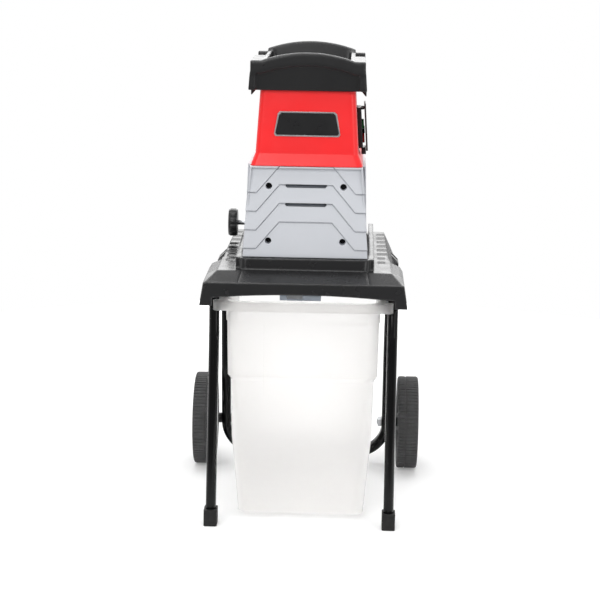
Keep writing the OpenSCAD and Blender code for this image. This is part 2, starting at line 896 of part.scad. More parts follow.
// A flat section from the points of its right half
module section(p) {
    polygon(concat(p, [for (i = [len(p) - 1 : -1 : 0]) [-p[i][0], p[i][1]]]));
}

// A flat rectangle with round corners
module round_rect(x0, x1, y0, y1, r) {
    translate([x0 + r, y0]) square([x1 - x0 - 2 * r, y1 - y0]);
    translate([x0, y0 + r]) square([x1 - x0, y1 - y0 - 2 * r]);
    for (x = [x0 + r, x1 - r]) for (y = [y0 + r, y1 - r]) translate([x, y]) circle(r);
}

// A body that tapers from one rounded rectangle to another
module taper(x0, y0, y1, z0, x1, y2, y3, z1, r) {
    hull() {
        translate([0, 0, z0]) linear_extrude(0.01) round_rect(-x0, x0, y0, y1, r, $fn = 48);
        translate([0, 0, z1 - 0.01]) linear_extrude(0.01) round_rect(-x1, x1, y2, y3, r, $fn = 48);
    }
}

// Angle between the tooth middle and the flank of an involute at radius r
function roll(rb, r) = r <= rb ? 0 : sqrt(r * r / (rb * rb) - 1);
function inv(rb, r) = roll(rb, r) * 180 / PI - atan(roll(rb, r));
function base_r(n, m) = m * n / 2 * cos(gear_angle);
function flank(n, m, r) = (90 - gear_slack) / n + inv(base_r(n, m), m * n / 2) - inv(base_r(n, m), r);

// Outline of a gear with n teeth of module m
module gear_shape(n, m) {
    ra = m * (n / 2 + gear_add);
    rr = m * (n / 2 - gear_ded);
    rs = max(rr * 1.01, base_r(n, m));
    rl = [rr, rs, (rs + ra) / 2, ra];
    polygon([for (i = [0 : n - 1]) for (k = [0 : 7])
        let (r = rl[k < 4 ? k : 7 - k], a = 360 * i / n + (k < 4 ? -1 : 1) * flank(n, m, max(r, rs)))
        [r * cos(a), r * sin(a)]]);
}

// Frame
module rear_tilt() {
    translate([0, axle_y, axle_z]) rotate([rear_lean, 0, 0]) children();
}

// A front leg; its straight ends reach a little way into the slightly thicker bend
module front_leg() {
    translate([leg_x, leg_y, bend_z - leg_lap]) linear_extrude(leg_top_z - bend_z + leg_lap) tube_section();
    translate([leg_x, leg_y - bend_r, bend_z]) rotate([90, 0, 90]) rotate([0, 0, -front_lean])
        rotate_extrude(angle = front_lean) translate([bend_r, 0]) rotate(90) tube_section(bend_grow);
    translate([leg_x, leg_y - bend_r, bend_z]) rotate([-front_lean, 0, 0]) translate([0, bend_r, -leg_run])
        linear_extrude(leg_run + leg_lap) tube_section();
}

// The lower end of a front leg as a solid bar with room round it, for the foot cap
module leg_end() {
    translate([leg_x, leg_y - bend_r, bend_z]) rotate([-front_lean, 0, 0]) translate([0, bend_r, -leg_run])
        linear_extrude(2 * foot_h) oval(tube_w + 2 * tube_gap, tube_d + 2 * tube_gap);
}

module front_leg_right() {
    color(black) front_leg();
}

module front_leg_left() {
    color(black) mirror([1, 0, 0]) front_leg();
}

module rear_frame() {
    low = (bar_z - axle_z) / cos(rear_lean);
    color(black) difference() {
        rear_tilt() {
            both() {
                translate([leg_x, 0, low + corner_r]) linear_extrude(rear_top - low - corner_r) tube_section();
                translate([leg_x - corner_r, 0, low + corner_r]) rotate([90, 0, 0]) rotate([0, 0, -90])
                    rotate_extrude(angle = 90) translate([corner_r, 0]) tube_section();
            }
            translate([-(leg_x - corner_r), 0, low]) rotate([0, 90, 0])
                linear_extrude(2 * (leg_x - corner_r)) tube_section();
        }
        xcyl(axle_y, axle_z, -leg_out - over, leg_out + over, bolt_d / 2 + press_gap);
    }
}

module foot_caps() {
    color(rubber) both() difference() {
        translate([leg_x, foot_y, 0]) linear_extrude(foot_h)
            round_rect(-foot_w / 2, foot_w / 2, -foot_d / 2, foot_d / 2, foot_r);
        leg_end();
    }
}

// Wheels
module wheel_bolts() {
    color(steel) both() {
        xcyl(axle_y, axle_z, leg_in - seat_gap - nut_h - bolt_end, hub_x1 + seat_gap, bolt_d / 2);
        xcyl(axle_y, axle_z, hub_x1 + seat_gap, hub_x1 + seat_gap + bolt_head, bolt_d / 2 + bolt_over);
    }
}

module wheel_nuts() {
    color(steel) both() difference() {
        translate([leg_in - seat_gap - nut_h, axle_y, axle_z]) rotate([0, 90, 0])
            cylinder(h = nut_h, r = nut_d / 2, $fn = 6);
        xcyl(axle_y, axle_z, leg_in - seat_gap - nut_h - over, leg_in + over, bolt_d / 2 + press_gap);
    }
}

module wheel_spacers() {
    color(black) both() difference() {
        xcyl(axle_y, axle_z, leg_out, hub_x0 - seat_gap, bolt_d / 2 + spacer_t);
        xcyl(axle_y, axle_z, leg_out - over, hub_x0 + over, bolt_d / 2 + press_gap);
    }
}

module wheel_turned() {
    translate([0, axle_y, axle_z]) rotate([0, 90, 0]) rotate_extrude($fn = 96) children();
}

module rim() {
    inner = rim_r - rim_wall;
    difference() {
        wheel_turned() polygon([[bolt_d / 2 + run_play, hub_x0], [hub_r, hub_x0], [hub_r + disc_foot, disc_x0],
            [inner - disc_foot, disc_x0], [inner, wheel_x0 + rim_in], [rim_r, wheel_x0 + rim_in],
            [rim_r, wheel_x1 - rim_in], [inner, wheel_x1 - rim_in], [inner - disc_foot, disc_x1],
            [hub_r + disc_foot, disc_x1], [hub_r, hub_x1], [bolt_d / 2 + run_play, hub_x1]]);
        for (i = [0 : disc_holes - 1]) translate([0, axle_y, axle_z]) rotate([360 * i / disc_holes, 0, 0])
            xcyl((hub_r + inner) / 2, 0, wheel_x0, wheel_x1, (inner - hub_r) / 4);
    }
}

module tyre() {
    r = wheel_d / 2;
    g = wheel_x0 + groove_at;
    wheel_turned() polygon([[rim_r + press_gap, wheel_x0 + bead_in], [r - 0.8 * tyre_round, wheel_x0],
        [r - tyre_round / 4, wheel_x0 + tyre_round / 4], [r, wheel_x0 + tyre_round], [r, g],
        [r - tread_deep, g + tread_w / 4], [r - tread_deep, g + 3 * tread_w / 4], [r, g + tread_w],
        [r, wheel_x1 - tyre_round], [r - tyre_round / 4, wheel_x1 - tyre_round / 4],
        [r - 0.8 * tyre_round, wheel_x1], [rim_r + press_gap, wheel_x1 - bead_in]]);
}

module wheel_cap() {
    wheel_turned() polygon([[0, wheel_x1 - cap_t], [0, wheel_x1], [cap_r - cap_lap, wheel_x1],
        [cap_r, wheel_x1 - cap_lap], [cap_r, hub_x1 - cap_lap], [cap_r - cap_wall, hub_x1 - cap_lap],
        [cap_r - cap_wall, wheel_x1 - cap_t]]);
}

module wheel_rim_right() {
    color(black) rim();
}

module tyre_right() {
    color(rubber) tyre();
}

module wheel_cap_right() {
    color(black) wheel_cap();
}

module wheel_rim_left() {
    color(black) mirror([1, 0, 0]) rim();
}

module tyre_left() {
    color(rubber) mirror([1, 0, 0]) tyre();
}

module wheel_cap_left() {
    color(black) mirror([1, 0, 0]) wheel_cap();
}

// Base
// Section of the base between the shoulders, t inside the outer face
module side_shape(t) {
    low = t > 0 ? skirt_z - far : side_z;
    section([[side_x + (side_z - low) * side_run - side_inset * t, low],
        [deck_x + side_run * t - side_inset * t, deck_z - t]]);
}

// Section of the base at the shoulders
module shoulder_shape(t) {
    low = t > 0 ? skirt_z - over : skirt_z;
    section([[shoulder_x - t, low], [break_x - t, break_z - t / 2], [top_x - t, top_z - t],
        [edge_x - t / 2, edge_z - t], [edge_x - deck_bevel - t, deck_z - t]]);
}

// Section of the base at the tops of the rear tubes
module hump_shape(t) {
    low = t > 0 ? side_z - over : side_z;
    section([[hump_x - t, low], [hump_x - t, hump_z - t / 2], [hump_x - hump_in - t, hump_z + hump_in - t / 2]]);
}

// Outline of the base from the side
module length_shape(t) {
    low = t > 0 ? skirt_z - over : skirt_z;
    polygon([[base_y0 + t, low], [base_y1 - t, low], [base_y1 - t, edge_z - t / 2], [base_y1 - deck_rear, deck_z - t],
        [base_y0 + slope_l, edge_z - t], [base_y0 + t, break_z - t / 2]]);
}

module base_form(t) {
    difference() {
        intersection() {
            union() {
                along_y(base_y0 - over, base_y1 + over) side_shape(t);
                along_y(base_y0 - over, base_y0 + shoulder_l - t) shoulder_shape(t);
                along_y(hump_y - hump_l / 2 + t, hump_y + hump_l / 2 - t) hump_shape(t);
            }
            along_x(-shoulder_x - over, shoulder_x + over) length_shape(t);
        }
        both() translate([edge_x, base_y0 + slope_l, edge_z]) rotate([0, corner_tilt, -corner_turn])
            block(-far, far, -far, far, -t, far);
    }
}

// Sockets inside the shoulders that take the leg tops
module leg_sockets() {
    intersection() {
        base_form(0);
        both() {
            translate([leg_x, leg_y, side_z]) linear_extrude(deck_z - side_z)
                oval(tube_w + 2 * socket_t, tube_d + 2 * socket_t);
            intersection() {
                rear_tilt() translate([leg_x, 0, rear_top / 2]) linear_extrude(rear_top)
                    oval(tube_w + 2 * socket_t, tube_d + 2 * socket_t);
                block(0, shoulder_x, 0, base_y1, side_z, deck_z);
            }
        }
    }
}

module leg_holes() {
    both() {
        translate([leg_x, leg_y, skirt_z - over]) linear_extrude(leg_top_z - skirt_z + over + seat_gap)
            oval(tube_w + 2 * tube_gap, tube_d + 2 * tube_gap);
        rear_tilt() translate([leg_x, 0, rear_top / 2]) linear_extrude(rear_top / 2 + seat_gap)
            oval(tube_w + 2 * tube_gap, tube_d + 2 * tube_gap);
    }
}

module rib_cuts() {
    first = (base_y0 + base_y1) / 2 + rib_shift - rib_pitch * (rib_n - 1) / 2;
    both() difference() {
        for (i = [0 : rib_n - 1]) {
            y = first + i * rib_pitch;
            block(rib_x0, y - rib_w > base_y0 + shoulder_l ? shoulder_x : rib_x1, y - rib_w / 2, y + rib_w / 2,
                side_z + rib_foot, ped_z);
        }
        base_form(rib_deep);
    }
}

// Grooves in the front slope that mark off the middle of the fascia
module fascia_grooves() {
    both() difference() {
        along_y(base_y0 - over, ped_y0 - groove_w) polygon([[groove_x, deck_z], [groove_x + groove_w, deck_z],
            [groove_x + groove_w + groove_run, break_z], [groove_x + groove_run, break_z]]);
        base_form(groove_deep);
    }
}

// Strips beside the tower that rise towards the rear
module tower_strips() {
    both() along_x(ped_x - strip_lap, strip_x) polygon([[ped_y0 + ped_r, edge_z - strip_lap],
        [tower_y + strip_end, edge_z - strip_lap], [tower_y + strip_end, strip_z], [ped_y0 + ped_r, ped_z - over]]);
}

module base_platform() {
    color(black) difference() {
        union() {
            difference() {
                union() {
                    base_form(0);
                    translate([0, 0, edge_z - over]) linear_extrude(ped_z - edge_z + over)
                        round_rect(-ped_x, ped_x, ped_y0, ped_y1, ped_r);
                    tower_strips();
                }
                base_form(base_wall);
            }
            leg_sockets();
            block(-tray_x - tray_wall, tray_x + tray_wall, tray_y0 - tray_wall, tray_y1 + tray_wall, tray_z, deck_z - over);
        }
        block(-tray_x, tray_x, tray_y0, tray_y1, tray_top, ped_z + over);
        block(-chamber_x, chamber_x, chamber_y0 + chamber_t, chamber_y1 - chamber_t, tray_z - over, tray_top + over);
        leg_holes();
        rib_cuts();
        fascia_grooves();
        intersection() {
            ycyl(0, arch_z - arch_r, base_y0 - over, base_y0 + base_wall + over, arch_r, $fn = 360);
            block(-arch_x, arch_x, base_y0 - far, base_y0 + far, skirt_z - over, arch_z + over);
        }
    }
}

module seat_gasket() {
    color(rubber) difference() {
        translate([0, 0, ped_z]) linear_extrude(gasket_t)
            round_rect(-cover_x - gasket_over, cover_x + gasket_over, cover_y0 - gasket_over, tower_y + tower_hd, tower_r);
        block(-tray_x, tray_x, tray_y0, tray_y1, ped_z - over, ped_z + gasket_t + over);
    }
}

// Rails and interlock
module box_rails() {
    color(steel) both() {
        block(body_x + rail_gap, leg_in, rail_y0, rail_y1, rail_top - rail_t, rail_top);
        block(leg_in - rail_t, leg_in, rail_y0, rail_y1, rail_top - rail_t, rail_top + rail_h);
    }
}

module interlock_body() {
    color([0.35, 0.37, 0.4]) difference() {
        block(lock_x0, lock_x1, lock_y0, lock_y0 + lock_d, rim_z + lock_gap, break_z - lock_under);
        block(plunger_x0 - plunger_play, plunger_x1 + plunger_play, plunger_y0 - plunger_play, plunger_y1 + plunger_play,
            rim_z, plunger_z1 + plunger_room);
        block(plunger_x0 + over, plunger_x1 - over, lock_y0 - over, plunger_y0 + over, rim_z + window_z,
            rim_z + window_z + window_h);
    }
}

module interlock_plunger() {
    color([0.75, 0.76, 0.78]) block(plunger_x0, plunger_x1, plunger_y0, plunger_y1, rim_z + plunger_gap, plunger_z1);
}

// Lower tower
// Half width of chevron face k at height z
function cover_side(z, k) = cover_top_x + (grey_z - z) * (cover_foot_x - cover_top_x) / (grey_z - grey_foot_z)
    - side_step * k;

// Region above chevron line k
module above(k) {
    zc = grey_z + chev_top - chev_pitch * k;
    polygon([[-far, grey_z + far], [-far, zc - chev_drop], [-chev_knee, zc - chev_drop], [-chev_flat, zc],
        [chev_flat, zc], [chev_knee, zc - chev_drop], [far, zc - chev_drop], [far, grey_z + far]]);
}

// Front view of chevron face k, k counts from the top
module chev_face(k) {
    low = grey_foot_z - wall;
    high = grey_z + chev_drop;
    difference() {
        polygon([[-cover_side(low, k), low], [cover_side(low, k), low], [cover_side(high, k), high],
            [-cover_side(high, k), high]]);
        if (k > 0) above(k - 1);
        if (k < chev_n) difference() {
            translate([-far, low - far]) square(2 * far);
            above(k);
        }
    }
}

// Groove under chevron line k
module chev_groove(k) {
    along_y(-far, chev_deep - step * (chev_n - 1 - k)) difference() {
        translate([0, -chev_w]) above(k);
        above(k);
    }
}

module cover_tilt() {
    translate([0, cover_y0, grey_foot_z]) rotate([-cover_lean, 0, 0]) translate([0, 0, -grey_foot_z]) children();
}

// Front view of the box behind the chevron faces, t inside its outer face
module cover_frame(t) {
    polygon([[-cover_low_x + t, grey_foot_z - t], [cover_low_x - t, grey_foot_z - t], [cover_back_x - t, grey_z - t],
        [-cover_back_x + t, grey_z - t]]);
}

module motor_cover() {
    color(grey) difference() {
        intersection() {
            union() {
                cover_tilt() for (k = [0 : chev_n]) along_y(-step * (chev_n - k), 2 * face_t) chev_face(k);
                difference() {
                    along_y(cover_y0 + face_t, cover_y1) cover_frame(0);
                    along_y(cover_y0, cover_y1 + over) cover_frame(wall);
                }
            }
            block(-far, far, cover_y0 - far, cover_y1, grey_foot_z, grey_z);
        }
        cover_tilt() {
            along_y(face_t, cover_d) polygon([[-cover_x + face_edge, grey_foot_z - far], [cover_x - face_edge, grey_foot_z - far],
                [cover_top_x - face_edge, grey_z - face_t], [-cover_top_x + face_edge, grey_z - face_t]]);
            for (k = [0 : chev_n - 1]) chev_groove(k);
        }
        for (x = [-screw_x, screw_x]) for (z = [screw_lo_z, screw_hi_z])
            ycyl(x, z, cover_y0 - cover_d, recess_y1, recess_d / 2);
        for (k = [1, 2]) translate([0, 0, grey_z + chev_top - chev_pitch * k]) along_y(cover_y0 - cover_d, cover_y1)
            polygon([[-vent_x, 0], [vent_x, 0], [vent_x, vent_cut - vent_h], [vent_x - vent_cut, -vent_h],
                [-vent_x + vent_cut, -vent_h], [-vent_x, vent_cut - vent_h]]);
        translate([0, cover_y0 - press_gap, grey_foot_z + panel_h]) rotate([panel_turn - cover_lean, 0, 0])
            along_y(-cover_d, 0) polygon([[-panel_x, -2 * panel_h], [panel_x, -2 * panel_h], [panel_x, -panel_h],
                [panel_top_x, 0], [-panel_top_x, 0], [-panel_x, -panel_h]]);
    }
    screw_posts();
}

// Posts behind the cover that take the screws
module screw_posts() {
    color(grey) for (x = [-screw_x, screw_x]) for (z = [screw_lo_z, screw_hi_z]) difference() {
        ycyl(x, z, cover_y0 + (z - grey_foot_z) * tan(cover_lean) + face_t / 2, post_y1, recess_d / 2 + post_t);
        ycyl(x, z, cover_y0 - over, recess_y1, recess_d / 2);
    }
}

module cover_screws() {
    color(black) for (x = [-screw_x, screw_x]) for (z = [screw_lo_z, screw_hi_z]) difference() {
        ycyl(x, z, recess_y1 - head_h, recess_y1, recess_d / 2 - head_play);
        ycyl(x, z, recess_y1 - head_h - over, recess_y1 - head_h + head_deep, head_socket, $fn = 6);
    }
}

module lower_housing() {
    color(grey) difference() {
        intersection() {
            taper(grey_x, tower_y - grey_hd, tower_y + grey_hd, grey_foot_z,
                grey_top_x, tower_y - grey_top_hd, tower_y + grey_top_hd, grey_z, tower_r);
            block(-far, far, cover_y1 + seat_gap, cover_y1 + 2 * far, 0, grey_z + far);
        }
        taper(grey_x - wall, tower_y - grey_hd, tower_y + grey_hd - wall, grey_foot_z - over,
            grey_top_x - wall, tower_y - grey_top_hd, tower_y + grey_top_hd - wall, grey_z - wall, tower_r - wall);
        block(-red_foot_x + grey_ledge, red_foot_x - grey_ledge, cover_y1 - over, tower_y + red_foot_hd - grey_ledge,
            grey_z - wall - over, grey_z + over);
        xcyl(roller_y, knob_z, -far, -grey_top_x + 2 * wall, spindle_d / 2 + spindle_room);
    }
}

// Upper tower
// The flared foot of the red tower, t inside its outer face, its foot lowered by e
module red_foot(t, e) {
    taper(red_foot_x - t, tower_y - red_foot_hd + t, tower_y + red_foot_hd - t, red_foot_z - e,
        red_x - t, tower_y - red_hd + t, tower_y + red_hd - t, flare_z + e / 10, tower_r - t);
}

// The upper part of the red tower, t inside its outer face, its top raised by e
module red_body(t, e) {
    taper(red_x - t, tower_y - red_hd + t, tower_y + red_hd - t, flare_z - (e > 0 ? 0 : over),
        red_top_x - t, tower_y - red_top_hd + t, tower_y + red_top_hd - t, red_z + e, tower_r - t);
}

module upper_tower() {
    color([0.72, 0.03, 0.03]) difference() {
        union() {
            red_foot(0, 0);
            red_body(0, 0);
        }
        red_foot(wall, over);
        red_body(wall, over);
    }
}

module badge_place() {
    translate([0, tower_y - red_hd, flare_z]) rotate([-red_lean, 0, 0]) translate([0, 0, badge_z - flare_z]) children();
}

module badge_shape(t) {
    c = badge_cut;
    side = badge_cut * (badge_x - badge_top_x) / badge_h;
    polygon([[-badge_x + t + side, t + c], [-badge_x + t + c, t], [badge_x - t - c, t], [badge_x - t - side, t + c],
        [badge_top_x - t + side, badge_h - t - c], [badge_top_x - t - c, badge_h - t],
        [-badge_top_x + t + c, badge_h - t], [-badge_top_x + t - side, badge_h - t - c]]);
}

module badge_plate() {
    color(rubber) badge_place() along_y(-badge_t, 0) badge_shape(badge_b);
}

module badge_border() {
    color([0.75, 0.75, 0.77]) badge_place() along_y(-badge_t - badge_rise, 0) difference() {
        badge_shape(0);
        badge_shape(badge_b);
    }
}

module feed_chute() {
    color(black) difference() {
        union() {
            block(-chute_w / 2 - chute_t, chute_w / 2 + chute_t, chute_y0 - chute_t, chute_y1 + chute_t, chute_z0, chute_z1);
            taper(chute_w / 2 + chute_t, chute_y0 - chute_t, chute_y1 + chute_t, chute_z1 - over,
                funnel_x + chute_t, funnel_y0 - chute_t, chute_y1 + chute_t, red_z, funnel_r);
            block(-red_top_x + wall + press_gap, red_top_x - wall - press_gap, tower_y - red_top_hd + wall + funnel_gap,
                tower_y + red_top_hd - wall - funnel_gap, red_z - flange_t, red_z);
        }
        block(-chute_w / 2, chute_w / 2, chute_y0, chute_y1, chute_z0 - over, chute_z1 + over);
        taper(chute_w / 2, chute_y0, chute_y1, chute_z1, funnel_x, funnel_y0, chute_y1, red_z + over, funnel_r - chute_t);
    }
}

// Hopper
// Outline of the rim band: top t lower than the rim
module rim_shape(t, w) {
    intersection() {
        translate([-w, collar_z]) square([2 * w, far]);
        translate([0, ear_top + rim_rise - t - rim_arc_r]) circle(rim_arc_r, $fn = 240);
    }
}

// Sloped middle of the collar with the arched rim, still without the feed hole
module collar_core() {
    intersection() {
        along_x(-core_x, core_x) polygon([[hop_y0 + collar_in, collar_z], [hop_y1 - collar_in, collar_z],
            [rim_y1 - band_d / 4, ear_top + rim_rise], [hop_y0 + band_d / 4, ear_top + rim_rise]]);
        along_y(hop_y0, hop_y1) {
            rim_shape(over / 2, rim_x);
            translate([-core_x, collar_z - over]) square([2 * core_x, collar_h + over / 2]);
        }
    }
}

// A band along the top of the rim, raised by up
module rim_band(y, up) {
    along_y(y, y + band_d) difference() {
        rim_shape(-up, rim_x);
        rim_shape(band_h - up, rim_x + over);
    }
}

// The places of the hopper screws, from d deep in the collar to h further out
module hopper_screw(d, h, r) {
    both() for (y = [tower_y - hop_screw_y, tower_y + hop_screw_y])
        xcyl(y, collar_z + hop_screw_z, collar_x - d, collar_x - d + h, r);
}

module hopper_collar() {
    color(black) difference() {
        union() {
            collar_core();
            rim_band(hop_y0, 0);
            rim_band(rim_y1 - band_d, rim_up);
            both() {
                along_y(hop_y0 + 2 * over, hop_y1 - 2 * over) polygon([[core_x - over, collar_z + over / 2],
                    [collar_x, collar_z + over / 2], [ear_x + over, collar_top], [core_x - over, collar_top]]);
                along_y(hop_y0 + tip_set, hop_y1 - ear_rear) polygon([[collar_x - tip_w, collar_z + 2 * over],
                    [collar_x - over / 2, collar_z + 2 * over], [collar_x - over / 2, collar_z - tip_drop],
                    [collar_x - 2 * over, collar_z - tip_drop]]);
                for (y = [[hop_y0, hop_y0 + ear_front], [hop_y1 - ear_rear, hop_y1]])
                    block(rim_x + over, ear_x, y[0], y[1], collar_top - 2 * over, ear_top);
            }
        }
        taper(funnel_x, funnel_y0, chute_y1, collar_z - over, rim_x - rim_t, hop_y0 + rim_t + over,
            rim_y1 - rim_t - over, ear_top + rim_rise + rim_up + over, funnel_r);
        hopper_screw(hop_screw_d, hop_screw_d + over, hop_screw_r + head_play);
    }
}

module hopper_screws() {
    color(steel) hopper_screw(hop_screw_d, hop_screw_h, hop_screw_r);
}

// Switch
module switch_tilt() {
    translate([switch_x, switch_y, switch_z]) rotate([0, -switch_lean, 0]) children();
}

// The hinge pin with radius r and half length w
module hinge_pin(r, w) {
    ycyl(hinge_x, hinge_z, -w, w, r);
}

module switch_body() {
    color(black) switch_tilt() difference() {
        union() {
            block(seat_gap, switch_d, -switch_w / 2, switch_w / 2, 0, switch_h);
            for (y = [-hinge_y - lug_w, hinge_y])
                block(switch_d - over, hinge_x + lug_r, y, y + lug_w, hinge_z - lug_r, hinge_z + lug_r);
        }
        for (z = [stop_z, start_z])
            xcyl(-button_off, z, switch_d + button_up - button_l - stroke - over, switch_d + over, button_d / 2 + button_play);
        xcyl(turn_off, turn_z, switch_d - turn_deep, switch_d + over, turn_r + button_play);
        hinge_pin(hinge_r + run_play, switch_w / 2);
    }
}

module switch_lid() {
    color(black) switch_tilt() {
        block(lid_x, lid_x + lid_t, -switch_w / 2 - over, switch_w / 2 + over, -lid_over, switch_h + lid_over + 2 * over);
        both_ways() block(hinge_x - hinge_r, lid_x + over / 2, hinge_y - lug_w, hinge_y - button_play,
            hinge_z - hinge_r - seat_gap, hinge_z + hinge_r + seat_gap);
        hinge_pin(hinge_r, hinge_y + lug_w + over);
    }
}

// A push button at height z
module push_button(z) {
    switch_tilt() xcyl(-button_off, z, switch_d + button_up - button_l, switch_d + button_up, button_d / 2);
}

module start_button() {
    color([0.05, 0.45, 0.12]) push_button(start_z);
}

module stop_button() {
    color([0.7, 0.04, 0.04]) push_button(stop_z);
}

module direction_switch() {
    color(black) switch_tilt() {
        xcyl(turn_off, turn_z, switch_d - turn_deep + seat_gap, switch_d + 2 * over, turn_r);
        block(switch_d + over, lid_x - over, turn_off - turn_w / 2, turn_off + turn_w / 2,
            turn_z - turn_r + over / 2, turn_z + turn_r - over / 2);
    }
}

module power_inlet() {
    color(black) switch_tilt() difference() {
        block(inlet_x, inlet_x1, -inlet_w, inlet_w, -inlet_h, -seat_gap);
        block(inlet_x + inlet_t, inlet_x1 - inlet_t, -inlet_w + inlet_t, inlet_w - inlet_t, -inlet_h - over,
            -seat_gap - inlet_t);
    }
}

module inlet_pins() {
    color(brass) switch_tilt() both_ways()
        translate([(inlet_x + inlet_x1) / 2, pin_y, -seat_gap - inlet_t - pin_l]) cylinder(h = pin_l, r = pin_r);
}

// Motor
// A ring along Y with bore r0
module yring(x, z, y0, y1, r, r0) {
    difference() {
        ycyl(x, z, y0, y1, r);
        ycyl(x, z, y0 - over, y1 + over, r0);
    }
}

module motor_can() {
    color(dark_steel) yring(motor_x, motor_z, can_y0, can_y1, motor_r, rotor_r + rotor_gap);
}

module motor_shields() {
    color(alloy) for (y = [shield_y0, can_y1]) yring(motor_x, motor_z, y, y + shield_t, motor_r, mshaft_d / 2 + ring_t);
}

module motor_bearings() {
    color(steel) for (y = [shield_y0, can_y1])
        yring(motor_x, motor_z, y, y + shield_t, mshaft_d / 2 + ring_t - press_gap, mshaft_d / 2 + run_play);
}

module rotor_core() {
    color(dark_steel) yring(motor_x, motor_z, can_y0 + shield_t, can_y1 - shield_t, rotor_r, mshaft_d / 2 + press_gap);
}

module motor_shaft() {
    color(steel) {
        ycyl(motor_x, motor_z, fan_y0, gear1_y0 + over, mshaft_d / 2);
        translate([motor_x, 0, motor_z]) along_y(gear1_y0, gear1_y1) rotate(motor_dir + 180) gear_shape(pin_n, mod1);
    }
}

module cooling_fan() {
    color(black) difference() {
        union() {
            ycyl(motor_x, motor_z, fan_y0, fan_y0 + fan_d, mshaft_d / 2 + fan_hub);
            ycyl(motor_x, motor_z, fan_y0 + fan_d - fan_t, fan_y0 + fan_d, fan_r);
            for (a = [0 : 45 : 315]) translate([motor_x, 0, motor_z]) along_y(fan_y0, fan_y0 + fan_d - over) rotate(a)
                translate([mshaft_d / 2 + fan_hub / 2, -blade_t / 2]) square([fan_r - mshaft_d / 2 - fan_hub / 2 - over, blade_t]);
        }
        ycyl(motor_x, motor_z, fan_y0 - over, fan_y0 + fan_d + over, mshaft_d / 2 + press_gap);
    }
}

// Gearbox
module gearbox_shape(t) {
    hull() {
        translate([roller_x, roller_z]) circle(gear2_tip + gear_room + t);
        translate([lay_x, lay_z]) circle(gear1_tip + gear_room + t);
    }
}

module gearbox_case() {
    color(alloy) difference() {
        union() {
            along_y(gb_y0, gc_y0) gearbox_shape(gearbox_t - over);
            block(roller_x - gearbox_foot, roller_x + gearbox_foot, gb_y0, gc_y0, tray_top, roller_z - gearbox_foot / 2);
        }
        along_y(gb_y0 + gearbox_t, gc_y0 + over) gearbox_shape(0);
        ycyl(motor_x, motor_z, gb_y0 - over, gc_y0, mod1 * (pin_n / 2 + gear_add) + over);
        ycyl(lay_x, lay_z, gb_y0 - over, gb_y0 + gearbox_t + over, lay_d / 2 + bush_t);
    }
}

module gearbox_cover() {
    color(alloy) difference() {
        along_y(gc_y0, gc_y1) gearbox_shape(gearbox_t - over);
        ycyl(roller_x, roller_z, gc_y0 - over, gc_y1 + over, bearing_d / 2);
        ycyl(lay_x, lay_z, gc_y0 - over, gc_y1 + over, lay_d / 2 + bush_t);
    }
}

module layshaft_bushes() {
    color(brass) for (y = [[gb_y0, gb_y0 + gearbox_t], [gc_y0, gc_y1]])
        yring(lay_x, lay_z, y[0], y[1], lay_d / 2 + bush_t - press_gap, lay_d / 2 + run_play);
}

module layshaft() {
    color(steel) {
        ycyl(lay_x, lay_z, gb_y0, gc_y1 - over, lay_d / 2);
        translate([lay_x, 0, lay_z]) along_y(gear2_y0, gear2_y1) rotate(lay_dir + 180) gear_shape(pin_n, mod2);
    }
}

module layshaft_gear() {
    color(dark_steel) difference() {
        translate([lay_x, 0, lay_z]) along_y(gear1_y0, gear1_y1) rotate(motor_dir + 180 / gear1_n)
            gear_shape(gear1_n, mod1);
        ycyl(lay_x, lay_z, gear1_y0 - over, gear1_y1 + over, lay_d / 2 + press_gap);
    }
}

module output_gear() {
    color(dark_steel) difference() {
        translate([roller_x, 0, roller_z]) along_y(gear2_y0, gear2_y1) rotate(lay_dir + 180 / gear2_n)
            gear_shape(gear2_n, mod2);
        ycyl(roller_x, roller_z, gear2_y0 - over, gear2_y1 + over, shaft_d / 2 + press_gap);
    }
}

// Cutting unit
module cutting_chamber() {
    boss_x = -chamber_x - chamber_t - boss_l;
    color(alloy) difference() {
        union() {
            block(-chamber_x - chamber_t, chamber_x + chamber_t, chamber_y0, chamber_y1, tray_top, chamber_z1);
            xcyl(roller_y, knob_z, boss_x, -chamber_x, spindle_d / 2 + chamber_t);
        }
        block(-chamber_x, chamber_x, chamber_y0 + chamber_t, chamber_y1 - chamber_t, tray_top - over, chamber_z1 + over);
        ycyl(roller_x, roller_z, chamber_y0 - over, roller_y, shaft_d / 2 + shaft_room);
        ycyl(roller_x, roller_z, roller_y, chamber_y1 + over, bearing_d / 2);
        xcyl(roller_y, knob_z, boss_x - over, -chamber_x + over, spindle_d / 2 + run_play);
    }
}

// One row of roller teeth, each drawn from its root over the tip with shares of its pitch
module tooth_row() {
    r = roller_d / 2;
    w = 360 / roller_n;
    polygon([for (i = [0 : roller_n - 1]) for (p = [[1, 0], [0, 0.07], [0, 0.22], [0.6, 0.45], [1, 0.85]])
        (r - p[0] * tooth_deep) * [cos((i + p[1]) * w), sin((i + p[1]) * w)]]);
}

module cutting_roller() {
    p = roller_l / roller_rows;
    y = roller_y - roller_l / 2;
    color(dark_steel) difference() {
        union() {
            ycyl(roller_x, roller_z, y, y + roller_l, roller_d / 2 - tooth_deep - over);
            for (i = [0 : roller_rows - 1]) translate([roller_x, 0, roller_z])
                along_y(y + i * p + row_gap / 2, y + (i + 1) * p - row_gap / 2) rotate(i * row_twist) tooth_row();
        }
        ycyl(roller_x, roller_z, y - over, y + roller_l + over, shaft_d / 2 + press_gap);
    }
}

module roller_shaft() {
    color(steel) ycyl(roller_x, roller_z, gear2_y0, shaft_y1, shaft_d / 2);
}

